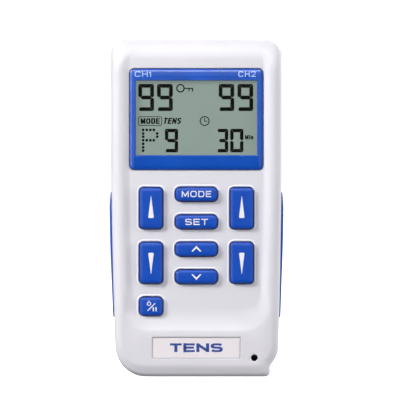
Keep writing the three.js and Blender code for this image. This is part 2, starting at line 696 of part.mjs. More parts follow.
// Two glass sheets. The front one lies in the frame's recess.
// The rear one is longer at the bottom, where its contacts are.
function lcdPanel() {
  const low = SCREEN_Z - 15.2;
  return join(
    box(-LCD_SIGHT_W / 2, LCD_SIGHT_W / 2, LCD_FRONT_Y, -10.2, SCREEN_Z - 13.75, SCREEN_Z + 13.75),
    box(-LCD_W / 2, LCD_W / 2, -10.3, -9.1, low, SCREEN_Z + 15.2),
  );
}

// The tray behind the glass, with a slot for the zebra strip.
function lcdTray() {
  return cut(
    box(-24.5, 24.5, -8.8, BOARD_FRONT_Y - GAP, SCREEN_Z - 17, SCREEN_Z + 17),
    box(-21.8, 21.8, -9, -6, SCREEN_Z - 15, SCREEN_Z - 12.3),
    box(-19, 19, -8, -6, SCREEN_Z - 10, SCREEN_Z + 13),
  );
}

const zebraStrip = () =>
  box(-21.5, 21.5, -8.8, BOARD_FRONT_Y - GAP, SCREEN_Z - 14.7, SCREEN_Z - 12.6);

// ---------------------------------------------------------------- keys

function key([, x, z, w, h, r]) {
  const front = PANEL_Y - KEY_PROUD;
  const cap = new THREE.ExtrudeGeometry(roundedRect(w - 2 * KEY_EDGE, h - 2 * KEY_EDGE, r - KEY_EDGE, x, z), {
    depth: KEY_FLANGE_Y - front - 2 * KEY_EDGE,
    bevelThickness: KEY_EDGE,
    bevelSize: KEY_EDGE,
    bevelSegments: 1,
    curveSegments: 2,
  });
  cap.rotateX(Math.PI / 2);
  cap.translate(0, KEY_FLANGE_Y - KEY_EDGE, 0);
  const reach = 2 * (GAP + KEY_FLANGE);
  const flange = slab(roundedRect(w + reach, h + reach, r + 1, x, z), PANEL_BACK_Y + GAP, KEY_FLANGE_Y, 1);
  const plunger = box(x - w / 4, x + w / 4, -10, KEY_FOOT_Y, z - h / 4, z + h / 4);
  return join(solid(cap), flange, plunger);
}

// A soft mat with a window round each key's plunger.
function keypadMat() {
  const sheet = slab(roundedRect(44, 50, 2, 0, 44.2), MAT_FRONT_Y, BOARD_FRONT_Y - GAP, 1);
  const windows = KEYS.map(([, x, z, w, h]) =>
    box(x - w / 4 - 0.6, x + w / 4 + 0.6, -9, -6, z - h / 4 - 0.6, z + h / 4 + 0.6),
  );
  return cut(sheet, ...windows);
}

// ---------------------------------------------------------------- board and its parts

function mainBoard() {
  // square notches leave room for the case's screw bosses
  const notches = SCREW_SPOTS.map(([, x, z]) => {
    const [near, far] = [x - Math.sign(x) * 3.5, Math.sign(x) * 32].sort((a, b) => a - b);
    return z > 60 ? box(near, far, -8, -3, z - 3.5, HEIGHT) : box(near, far, -8, -3, 5, z + 3.5);
  });
  return cut(
    slab(roundedRect(52, 106, 1, 0, 63), BOARD_FRONT_Y, BOARD_BACK_Y, 1),
    ...notches,
    ...[-1, 1].map((s) => cylinderY(1.3, -8, -3, s * BOARD_SCREW_X, BOARD_SCREW_Z, 10)),
  );
}

const microcontroller = () => box(-6, 6, BOARD_BACK_Y + GAP, -3.2, 70.5, 82.5);

// Ferrite core with a taped winding that stands out on both sides.
function transformer(x) {
  return join(
    box(x - 5.5, x + 5.5, BOARD_BACK_Y + GAP, 4, 88, 98),
    box(x - 3.4, x + 3.4, -4.2, 5, 86.6, 99.4),
  );
}

const capacitor = (x) => cylinderY(3.15, BOARD_BACK_Y + GAP, 4, x, 81, 20);
const buzzer = () =>
  cut(cylinderY(4.5, BOARD_BACK_Y + GAP, -1.2, 0, 109.5), cylinderY(0.8, -2.2, 0, 0, 109.5, 8));

// A moulded lead socket whose nose comes through the top wall, flush with it.
function outputSocket(x) {
  const body = box(x - 4.5, x + 4.5, BOARD_BACK_Y + GAP, 5, 106.5, 117.7);
  const nose = cylinderZ(SOCKET_NOSE_R, 117, HEIGHT - 0.1, x, 0, 20);
  return cut(join(body, nose), cylinderZ(SOCKET_HOLE_R, 108, 121, x, 0, 14));
}

// ---------------------------------------------------------------- power

// A round cell standing on its end, its button up or down.
function cell(x, up) {
  const length = 49.2;
  const low = up ? 15.1 : 12.6;
  const profile = [
    [0, 0],
    [CELL_R - 0.5, 0],
    [CELL_R, 0.5],
    [CELL_R, length - 0.5],
    [CELL_R - 0.5, length],
    [2.6, length],
    [2.6, length + 1.3],
    [0, length + 1.3],
  ].map(([r, h]) => new THREE.Vector2(r, h));
  const geometry = new THREE.LatheGeometry(profile, 20);
  geometry.rotateX(up ? Math.PI / 2 : -Math.PI / 2);
  geometry.translate(x, CELL_Y, up ? low : low + length);
  return solid(geometry);
}

// A cone of wire that presses on a cell's flat end.
function cellSpring(x, baseZ, tipZ) {
  const turns = 3.5;
  const points = [];
  for (let i = 0; i <= turns * 8; i++) {
    const t = i / (turns * 8);
    const r = 3.8 - 1.7 * t;
    const a = 2 * Math.PI * turns * t;
    points.push(new THREE.Vector3(x + r * Math.cos(a), CELL_Y + r * Math.sin(a), baseZ + (tipZ - baseZ) * t));
  }
  return wire(new THREE.CatmullRomCurve3(points), 0.35, 28, 5);
}

const PLATE_GAP = 0.15; // contact plates stand this far off the bay's end walls
const lowPlateTop = BAY_LOW_Z + PLATE_GAP + 0.5;
const highPlateBottom = BAY_HIGH_Z - PLATE_GAP - 0.5;

// The strip at the bottom links one cell's flat end to the other's button.
const linkPlate = () => box(-13.5, 13.5, -1.1, 8.4, BAY_LOW_Z + PLATE_GAP, lowPlateTop);

// A plate at the top of each cell, with a tail through the bay's floor to the board.
function terminal(x) {
  const [z0, z1] = [highPlateBottom, BAY_HIGH_Z - PLATE_GAP];
  return join(box(x - 5, x + 5, -2.5, 8.4, z0, z1), box(x - 1.4, x + 1.4, BOARD_BACK_Y + GAP, -2, z0, z1));
}

// ---------------------------------------------------------------- fasteners

// A pan-head screw driven towards -Y, with a cross recess.
function screw(x, z, headY, headR, headH, shankR, length) {
  const profile = [
    [0, -length],
    [shankR * 0.6, -length],
    [shankR, -length + 1],
    [shankR, 0],
    [headR, 0],
    [headR, headH * 0.55],
    [headR * 0.72, headH],
    [0, headH],
  ].map(([r, h]) => new THREE.Vector2(r, h));
  const geometry = new THREE.LatheGeometry(profile, 10);
  geometry.translate(x, headY, z);
  const [arm, slot, deep] = [headR * 0.6, headR * 0.14, headY + headH * 0.35];
  return cut(
    solid(geometry),
    box(x - arm, x + arm, deep, headY + 5, z - slot, z + slot),
    box(x - slot, x + slot, deep, headY + 5, z - arm, z + arm),
  );
}

// ---------------------------------------------------------------- belt clip

const CLIP_SCREW_X = 7.5;
const CLIP_SCREW_Z = 100.6;
const BRACKET_BACK_Y = 14.1;
const PIN_R = 1;

function clipBracket() {
  const base = slab(roundedRect(25, 17, 2, 0, 106), BACK_Y + GAP, BRACKET_BACK_Y);
  const earShape = new THREE.Shape();
  earShape.moveTo(BACK_Y + GAP, 101.5);
  earShape.lineTo(PIVOT_Y, PIVOT_Z - 2.5);
  earShape.absarc(PIVOT_Y, PIVOT_Z, 2.5, -Math.PI / 2, Math.PI / 2);
  earShape.lineTo(BACK_Y + GAP, 110.5);
  const ears = [-12.4, 10.3].map((x) => sideSlab(earShape, x, x + 2.1, 6));
  return cut(
    join(base, ...ears),
    cylinderX(PIN_R + GAP, -14, 14, PIVOT_Y, PIVOT_Z, 16),
    ...[-1, 1].map((s) => cylinderY(1.3, 12, 15, s * CLIP_SCREW_X, CLIP_SCREW_Z, 12)),
  );
}

// The lever hangs from the pin. Its foot turns in to hold the belt and its head is the thumb pad.
function clipLever() {
  const side = new THREE.Shape();
  side.moveTo(LEVER_OUTER_Y, 115);
  side.lineTo(LEVER_OUTER_Y, 84);
  side.quadraticCurveTo(LEVER_OUTER_Y, 79, 17, 76.5);
  side.quadraticCurveTo(15.4, 75, 16.4, 71.2);
  side.lineTo(15, 70.6);
  side.quadraticCurveTo(13, 73.4, 13.2, 75.6);
  side.quadraticCurveTo(13.6, 77.4, 16, 78.5);
  side.quadraticCurveTo(LEVER_INNER_Y, 80, LEVER_INNER_Y, 84);
  side.lineTo(LEVER_INNER_Y, 115);
  side.quadraticCurveTo(LEVER_INNER_Y, 117, LEVER_INNER_Y + 0.9, 117);
  side.quadraticCurveTo(LEVER_OUTER_Y, 117, LEVER_OUTER_Y, 115);
  const plate = sideSlab(side, -LEVER_HALF_W, LEVER_HALF_W, 4);
  // rounded lower corners, in rear view
  const front = roundedRect(2 * LEVER_HALF_W, 46.6, 3.5, 0, 93.7);
  const barrels = [-LEVER_HALF_W, 4.6].map((x) =>
    join(
      cylinderX(2.1, x, x + LEVER_HALF_W - 4.6, PIVOT_Y, PIVOT_Z, 16),
      box(x, x + LEVER_HALF_W - 4.6, PIVOT_Y, LEVER_INNER_Y + 0.5, PIVOT_Z - 2.1, PIVOT_Z + 2.1),
    ),
  );
  const grooves = [108.5, 110.4, 112.3, 114.2].map((z) => box(-6, 6, LEVER_OUTER_Y - 0.5, 22, z, z + 0.8));
  return cut(
    join(plate.intersect(slab(front, 5, 25)), ...barrels),
    cylinderX(PIN_R + GAP, -12, 12, PIVOT_Y, PIVOT_Z, 16),
    ...grooves,
  );
}

const clipPin = () => cylinderX(PIN_R, -12.4, 12.4, PIVOT_Y, PIVOT_Z, 16);

// A torsion spring round the pin: one leg on the bracket, the other on the lever.
function clipSpring() {
  const [turns, r, halfW] = [4.25, 1.6, 3.6];
  const points = [new THREE.Vector3(-halfW, BRACKET_BACK_Y + 0.6, PIVOT_Z - 6)];
  const start = Math.PI;
  for (let i = 0; i <= turns * 8; i++) {
    const t = i / (turns * 8);
    const a = start + 2 * Math.PI * turns * t;
    points.push(
      new THREE.Vector3(-halfW + 2 * halfW * t, PIVOT_Y + r * Math.cos(a), PIVOT_Z + r * Math.sin(a)),
    );
  }
  points.push(new THREE.Vector3(halfW + 0.3, LEVER_INNER_Y - 0.6, PIVOT_Z - 7));
  return wire(new THREE.CatmullRomCurve3(points), 0.25, 40, 5);
}

// ---------------------------------------------------------------- assembly

const tensUnit = new THREE.Group();

function addPart(name, body, material) {
  const mesh = new THREE.Mesh(geometryOf(body), material);
  mesh.name = name;
  tensUnit.add(mesh);
}

addPart("front_cover", frontCover(), whiteCase);
addPart("rear_cover", rearCover(), whiteCase);
addPart("battery_door", batteryDoor(), whiteCase);
addPart("left_grip", grip(-1), gripRubber);
addPart("right_grip", grip(1), gripRubber);
addPart("name_plate", chinPlate(0, 0.3, PLATE_THICK), labelFilm);

addPart("display_bezel", displayBezel(), bluePlastic);
addPart("display_window", displayWindow(), clearWindow);
addPart("lcd_panel", lcdPanel(), lcdGlass);
addPart("lcd_tray", lcdTray(), whiteCase);
addPart("zebra_strip", zebraStrip(), blackPlastic);

KEYS.forEach((spec) => addPart(spec[0], key(spec), blueRubber));
addPart("keypad_mat", keypadMat(), greyRubber);

addPart("main_board", mainBoard(), greenBoard);
addPart("microcontroller", microcontroller(), blackPlastic);
addPart("transformer_1", transformer(-10), yellowTape);
addPart("transformer_2", transformer(10), yellowTape);
addPart("capacitor_1", capacitor(-13), blackPlastic);
addPart("capacitor_2", capacitor(13), blackPlastic);
addPart("buzzer", buzzer(), blackPlastic);
addPart("output_socket_1", outputSocket(-SOCKET_X), blackPlastic);
addPart("output_socket_2", outputSocket(SOCKET_X), blackPlastic);

addPart("battery_1", cell(-CELL_X, true), cellSleeve);
addPart("battery_2", cell(CELL_X, false), cellSleeve);
addPart("battery_spring_1", cellSpring(-CELL_X, lowPlateTop + 0.65, 14.55), springSteel);
addPart("battery_spring_2", cellSpring(CELL_X, highPlateBottom - 0.65, 62.35), springSteel);
addPart("battery_link_plate", linkPlate(), zincSteel);
addPart("battery_terminal_positive", terminal(-CELL_X), zincSteel);
addPart("battery_terminal_negative", terminal(CELL_X), zincSteel);

SCREW_SPOTS.forEach(([spot, x, z]) => {
  addPart("case_screw_" + spot, screw(x, z, 9.5, 2.5, 1.7, 1.15, 14.5), zincSteel);
});
[
  ["left", -1],
  ["right", 1],
].forEach(([spot, s]) => {
  const boardScrew = screw(s * BOARD_SCREW_X, BOARD_SCREW_Z, BOARD_BACK_Y + GAP, 1.9, 1.2, 0.9, 4.6);
  addPart("board_screw_" + spot, boardScrew, zincSteel);
  const clipScrew = screw(s * CLIP_SCREW_X, CLIP_SCREW_Z, BRACKET_BACK_Y + GAP, 1.9, 1.2, 0.8, 5);
  addPart("clip_screw_" + spot, clipScrew, zincSteel);
});

addPart("clip_bracket", clipBracket(), whiteCase);
addPart("clip_lever", clipLever(), whiteCase);
addPart("clip_pin", clipPin(), zincSteel);
addPart("clip_spring", clipSpring(), springSteel);

export default tensUnit;
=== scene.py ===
"""The looks of a handheld two-channel nerve stimulator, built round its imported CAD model.

Lengths in the geometry code are millimetres in the model's own frame (X right, Y back, Z up);
meshes are made in metres.
"""
import math

import bmesh
import bpy
import numpy as np
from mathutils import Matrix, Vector
from mathutils.geometry import delaunay_2d_cdt


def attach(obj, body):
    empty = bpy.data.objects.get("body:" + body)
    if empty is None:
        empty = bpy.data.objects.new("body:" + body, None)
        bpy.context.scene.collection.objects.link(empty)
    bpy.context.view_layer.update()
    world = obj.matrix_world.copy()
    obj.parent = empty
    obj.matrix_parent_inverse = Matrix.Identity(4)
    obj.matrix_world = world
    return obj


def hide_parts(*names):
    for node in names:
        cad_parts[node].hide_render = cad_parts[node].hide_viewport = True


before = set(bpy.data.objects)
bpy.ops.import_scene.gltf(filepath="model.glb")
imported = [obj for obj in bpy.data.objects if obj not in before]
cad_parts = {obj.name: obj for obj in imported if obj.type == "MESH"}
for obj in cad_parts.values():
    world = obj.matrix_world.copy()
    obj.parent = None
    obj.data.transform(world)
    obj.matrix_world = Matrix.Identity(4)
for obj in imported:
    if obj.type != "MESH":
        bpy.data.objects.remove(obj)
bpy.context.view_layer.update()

MM = 0.001
TAU = 2 * math.pi

# ---- sizes shared with the CAD model, in mm

HEIGHT, HALF_WIDTH, CORNER_R = 120.0, 30.3, 5.0
TAPER_Z = 68.0  # the sides are upright above this
RIM_Y, TOP_RIM_Y, PANEL_Y, PANEL_BACK_Y, FRONT_EDGE_Y = -13.4, -12.25, -12.2, -10.4, -8.0
REAR_EDGE_Y, BACK_Y = 7.6, 12.6
PARTING_Y, PARTING_GAP = 2.0, 0.15
RIDGE_Z, CHIN_DROP, CHIN_LOW_Z = 16.3, 0.5, 6.0
CHIN_SIDE_DROP, CHIN_SIDE, CHIN_FADE = 0.6, (14, 26), (14, 25)
RIM_FADE, RAMP_FADE, ROUND_TOP = (109, 119.5), (23, 31), (107, 116)  # heights between which a form changes
EDGE_WIDTH, EDGE_HEIGHT, LEVEL_OUT = 0.26, 0.7, 0.4  # shares of the roll-over
SPINE_LOW, SPINE_HIGH = 34.0, 84.0
WALL, GAP = 1.9, 0.3
SIDE_X = 16.1
TALL_KEY, WIDE_KEY = (8.2, 14.7, 1.4), (14.9, 5.0, 1.8)
KEYS = {  # body: centre x, centre z, width, height, corner radius
    "key_channel_1_up": (-SIDE_X, 60, *TALL_KEY),
    "key_channel_1_down": (-SIDE_X, 40.6, *TALL_KEY),
    "key_channel_2_up": (SIDE_X, 60, *TALL_KEY),
    "key_channel_2_down": (SIDE_X, 40.6, *TALL_KEY),
    "key_mode": (0, 64.95, *WIDE_KEY),
    "key_set": (0, 55.15, *WIDE_KEY),
    "key_up": (0, 45.45, *WIDE_KEY),
    "key_down": (0, 35.65, *WIDE_KEY),
    "key_power": (-SIDE_X, 25.15, 8.2, 6.6, 1.6),
}
KEY_GAP, KEY_FRONT_Y, LEGEND_Y = 0.25, -13.94, -14.0
BEZEL_W, BEZEL_H, BEZEL_Z, BEZEL_R = 47.4, 36.0, 91.6, 1.7
BEZEL_RIM_Y, BEZEL_TOP_Y, BEZEL_CREST_Y, REBATE_Y, FRAME_BACK_Y = -13.0, -13.1, -13.12, -11.0, -11.35
BEZEL_EDGE = [(0, -12.3), (0.03, -12.42), (0.1, -12.53), (0.2, -12.61), (0.35, -12.69), (0.5, -12.76),
              (0.66, -12.825), (0.85, -12.89), (1.05, -12.947), (1.3, BEZEL_RIM_Y)]  # distance in, depth
SCREEN_W, SCREEN_H, SCREEN_Z, SCREEN_LIP = 43.1, 26.5, 92.1, 0.42
WINDOW_HOLE, LCD_SEEN_Y = (46.1, 31.1), -11.6
PLATE_W, PLATE_H, PLATE_Z, PLATE_EDGE, PLATE_DEEP = 31.0, 7.2, 10.35, 0.25, 0.75
STRAP_X, STRAP_Z, STRAP_R, STRAP_EDGE = 20.6, 6.8, 1.2, 0.4
SOCKET_X = 14.0
CELL_X, CELL_Y = 7.4, 3.4
BAY = (15.6, 10.5, 66.5, -3.9)  # half width, low z, high z, floor y
DOOR = (18.0, 7.5, 69.5, 10.9)  # half width, low z, high z, inner y
TAB_X = 9.0
SCREWS = {"upper_left": (-24.2, 112.5), "upper_right": (24.2, 112.5),
          "lower_left": (-23.0, 14.0), "lower_right": (23.0, 14.0)}
SEAT_Y = 9.2  # under the case screws' heads
CLIP_SCREWS = {"left": (-7.5, 100.6), "right": (7.5, 100.6)}
GRIP_LOW, GRIP_HIGH, GRIP_FRONT, GRIP_BACK = 20.8, 65.8, -6.5, 7.0
PIVOT_Y, PIVOT_Z = 16.6, 106.0
LEVER_INNER_Y, LEVER_OUTER_Y, LEVER_HALF_W = 18.8, 20.6, 9.9

# ---- plane curves as arrays of (x, z)


def curve(n, *points):
    """A line or a Bezier curve with the given control points, in n steps."""
    t = np.linspace(0, 1, n + 1)[:, None]
    last = len(points) - 1
    weights = [math.comb(last, i) * t**i * (1 - t) ** (last - i) for i in range(last + 1)]
    return sum(w * np.array(p, float) for w, p in zip(weights, points))


def arc(x, z, r, a0, a1, n=16):
    a = np.radians(np.linspace(a0, a1, n + 1))
    return np.stack([x + r * np.cos(a), z + r * np.sin(a)], 1)


def closed(start, *parts):
    """A closed loop of parts end to end: arcs, or tuples of the steps and the further control points."""
    done = [np.array([start], float)]
    for part in parts:
        done.append(curve(part[0], done[-1][-1], *part[1:]) if isinstance(part, tuple) else part)
    p = np.concatenate(done)
    return p[np.linalg.norm(p - np.roll(p, 1, 0), axis=1) > 1e-6]


def rounded(w, h, r, x=0.0, z=0.0, n=6):
    """A rectangle with round corners, anticlockwise from the right; the same n gives loops that match."""
    r = max(r, 0.02)
    a, b = w / 2 - r, h / 2 - r
    corners = [(a, b, 0), (-a, b, 90), (-a, -b, 180), (a, -b, 270)]
    return np.concatenate([arc(x + cx, z + cz, r, t, t + 90, n) for cx, cz, t in corners])


def growing(w, h, r, x=0.0, z=0.0, n=6, corner=1.0):
    """A rounded rectangle as a function of its growth; corner is the share of it that the radius takes."""
    return lambda g: rounded(w + 2 * g, h + 2 * g, r + corner * g, x, z, n)


def circle(r, x=0.0, z=0.0, n=32):
    a = np.arange(n) * TAU / n
    return np.stack([x + r * np.cos(a), z + r * np.sin(a)], 1)


def tapered(wide, narrow, low_z, high_z, low_r, high_r):
    c = (wide + narrow) / 2 + 0.25
    upright, side_z = high_z - high_r, low_z + low_r
    return closed(
        (low_r - narrow, low_z),
        (4, (narrow - low_r, low_z)),
        (16, (narrow, low_z), (narrow, side_z)),
        (16, (c, 45), (wide, TAPER_Z)),
        (4, (wide, upright)),
        arc(wide - high_r, upright, high_r, 0, 90, 14),
        arc(high_r - wide, upright, high_r, 90, 180, 14),
        (4, (-wide, TAPER_Z)),
        (16, (-c, 45), (-narrow, side_z)),
        (16, (-narrow, low_z), (low_r - narrow, low_z)),
    )


OUTLINE = closed(
    (-17.6, 0),
    (8, (24.3, 0)),
    (8, (26.3, 0), (26.3, 2.2)),
    (2, (26.3, 3.8)),
    (14, (26.7, 5), (29.15, 6.3), (29.3, 11.2)),
    (24, (30, 42), (HALF_WIDTH, TAPER_Z)),
    (10, (HALF_WIDTH, HEIGHT - CORNER_R)),
    arc(HALF_WIDTH - CORNER_R, HEIGHT - CORNER_R, CORNER_R, 0, 90),
    (12, (CORNER_R - HALF_WIDTH, HEIGHT)),
    arc(CORNER_R - HALF_WIDTH, HEIGHT - CORNER_R, CORNER_R, 90, 180),
    (10, (-HALF_WIDTH, TAPER_Z)),
    (24, (-30, 42), (-29, 11)),
    (20, (-28.6, 4.2), (-23.6, 0), (-17.6, 0)),
)
ROLL_END = tapered(27.4, 26.1, 4.8, 112.6, 8, 4)
RECESS_OUTER = tapered(27, 25.8, RIDGE_Z, 119.4, 9, 7)
RECESS_INNER = tapered(23.3, 22.3, 24.5, 117, 5, 5)
FRONT_CURVES = (OUTLINE, ROLL_END, RECESS_OUTER, RECESS_INNER)
BACK_CURVES = (OUTLINE, tapered(25.2, 23.4, 5, 115, 4, 4))

# ---- rays from the spine, as in the CAD model

SPAN = SPINE_HIGH - SPINE_LOW
TURN = TAU + 2


def place_of(x, z):
    """Place of the ray through each point: below the spine, on its right, above it, on its left."""
    x, z = np.asarray(x, float), np.asarray(z, float)
    low = np.arctan2(z - SPINE_LOW, x) + math.pi
    high = math.pi + 1 + np.arctan2(z - SPINE_HIGH, x)
    side = np.where(x > 0, math.pi + (z - SPINE_LOW) / SPAN, TAU + 1 + (SPINE_HIGH - z) / SPAN)
    return np.where(z < SPINE_LOW, low, np.where(z > SPINE_HIGH, high, side))


def rays_at(place):
    """Origin height and direction of each ray."""
    t = np.asarray(place, float)
    low, up = t < math.pi, (t >= math.pi) & (t < math.pi + 1)
    high = (t >= math.pi + 1) & (t < TAU + 1)
    z = np.select([low, up, high], [SPINE_LOW, SPINE_LOW + (t - math.pi) * SPAN, SPINE_HIGH],
                  SPINE_HIGH - (t - TAU - 1) * SPAN)
    a = np.where(low, t - math.pi, t - math.pi - 1)
    fan = low | high
    return z, np.where(fan, np.cos(a), np.where(up, 1.0, -1.0)), np.where(fan, np.sin(a), 0.0)


def reach(place, loop):
    """Distance along each ray to a closed curve round the spine."""
    z0, dx, dz = (v[:, None] for v in rays_at(place))
    ex, ez = (np.roll(loop, -1, 0) - loop).T
    det = ez * dx - ex * dz
    det = np.where(abs(det) < 1e-12, 1e-12, det)
    px, pz = loop[:, 0], loop[:, 1] - z0
    along = (ez * px - ex * pz) / det
    share = (dz * px - dx * pz) / det
    hit = (along > 0) & (share > -1e-9) & (share < 1 + 1e-9)
    return np.where(hit, along, 0).max(1)


def points_on(place, distance):
    z0, dx, dz = rays_at(place)
    return np.stack([dx * distance, z0 + dz * distance], 1)


def places_through(curves, closest=0.007):
    """Places of the rays through the curves' points, with the ones that are almost the same left out."""
    p = np.sort(np.concatenate([place_of(*c.T) for c in curves]))
    kept = [p[0]]
    for v in p[1:]:
        if v - kept[-1] > closest:
            kept.append(v)
    return np.array(kept)


FINE = np.linspace(0, TURN, 6001)[:-1]
REACH = {id(c): reach(FINE, c) for c in (*FRONT_CURVES, *BACK_CURVES)}


def smooth(t):
    return t * t * (3 - 2 * t)


def clamp01(t):
    return np.clip(t, 0, 1)


def between(z, span):
    return clamp01((z - span[0]) / (span[1] - span[0]))


def round_up(t):
    """A quarter circle's height, from 0 to 1."""
    return np.sqrt(np.maximum(0, 1 - (1 - t) ** 2))


def roll_share(u, z):
    """Height of the roll-over, from 0 at the outline to 1 at its inner end."""
    eased = 1 - LEVEL_OUT / 2
    face = np.where(u < 1 - LEVEL_OUT, u / eased, 1 - (1 - u) ** 2 / (2 * LEVEL_OUT * eased))
    low = EDGE_HEIGHT * round_up(np.minimum(1, u / EDGE_WIDTH)) + (1 - EDGE_HEIGHT) * face
    top = smooth(between(z, ROUND_TOP))
    return low * (1 - top) + round_up(u) * top


def front_depth(x, z, d, outline, roll_end, outer, inner):
    """Depth of the front surface, from the distances of its four curves along a ray."""
    roll = roll_share(clamp01((outline - d) / (outline - roll_end)), z)
    end = between(abs(x), CHIN_SIDE) ** 2 * (1 - smooth(between(z, CHIN_FADE)))
    rim = RIM_Y + (TOP_RIM_Y - RIM_Y) * smooth(between(z, RIM_FADE)) + CHIN_SIDE_DROP * end
    crest = rim + CHIN_DROP * (1 - between(z, (CHIN_LOW_Z, RIDGE_Z)))
    v = clamp01((outer - d) / (outer - inner))
    ramp = 1 - (1 - v) ** 2
    soft = between(z, RAMP_FADE)
    dish = smooth(v) * soft + ramp * (1 - soft)
    return FRONT_EDGE_Y + (crest - FRONT_EDGE_Y) * roll + (PANEL_Y - rim) * dish


def back_depth(d, outline, flat):
    return REAR_EDGE_Y + (BACK_Y - REAR_EDGE_Y) * round_up(clamp01((outline - d) / (outline - flat)))


def surface_of(depth, curves):
    """The depth of a surface as a function of x and z."""

    def at(x, z):
        x, z = np.asarray(x, float), np.asarray(z, float)
        place, d = place_of(x, z), np.hypot(x, z - np.clip(z, SPINE_LOW, SPINE_HIGH))
        return depth(x, z, d, *[np.interp(place, FINE, REACH[id(c)], period=TURN) for c in curves])

    return at


front_at = surface_of(front_depth, FRONT_CURVES)
back_at = surface_of(lambda x, z, *spans: back_depth(*spans), BACK_CURVES)


def level(y):
    return lambda x, z: np.full(len(x), y)


# ---- loops in space


def lift(loop, y):
    """A loop of (x, z) at depth y, which may be one number or one for each point."""
    return np.column_stack([loop[:, 0], np.broadcast_to(y, len(loop)), loop[:, 1]])


def laid(loop, depth, offset=0.0):
    """A loop of (x, z) on a surface, or moved back from it by an offset."""
    return lift(loop, depth(*loop.T) + offset)


def across(loop, x):
    """A loop of (y, z) at x, which may be one number or one for each point."""
    return np.column_stack([np.broadcast_to(x, len(loop)), loop])


def steps(loop_at, pairs):
    """The loops for pairs of growth and depth."""
    return [lift(loop_at(g), y) for g, y in pairs]


ANGLES = np.linspace(0, math.pi / 2, 6)  # of the steps round a small edge


def round_edge(r, y):
    """Growth and depth round an edge, up to a face at y."""
    return [(-r * (1 - math.cos(a)), y - r + r * math.sin(a)) for a in ANGLES]


def inside(points, loop):
    x, z = points[:, 0][:, None], points[:, 1][:, None]
    a, b = loop, np.roll(loop, -1, 0)
    cross = (a[:, 1] > z) != (b[:, 1] > z)
    with np.errstate(divide="ignore", invalid="ignore"):
        at = (b[:, 0] - a[:, 0]) * (z - a[:, 1]) / (b[:, 1] - a[:, 1]) + a[:, 0]
    return ((cross & (x < at)).sum(1) % 2).astype(bool)


# ---- mesh building


def add_object(name, data):
    obj = bpy.data.objects.new(name, data)
    bpy.context.scene.collection.objects.link(obj)
    return obj


def shade(obj, sharp):
    obj.data.shade_smooth()
    obj.data.set_sharp_from_angle(angle=math.radians(sharp))


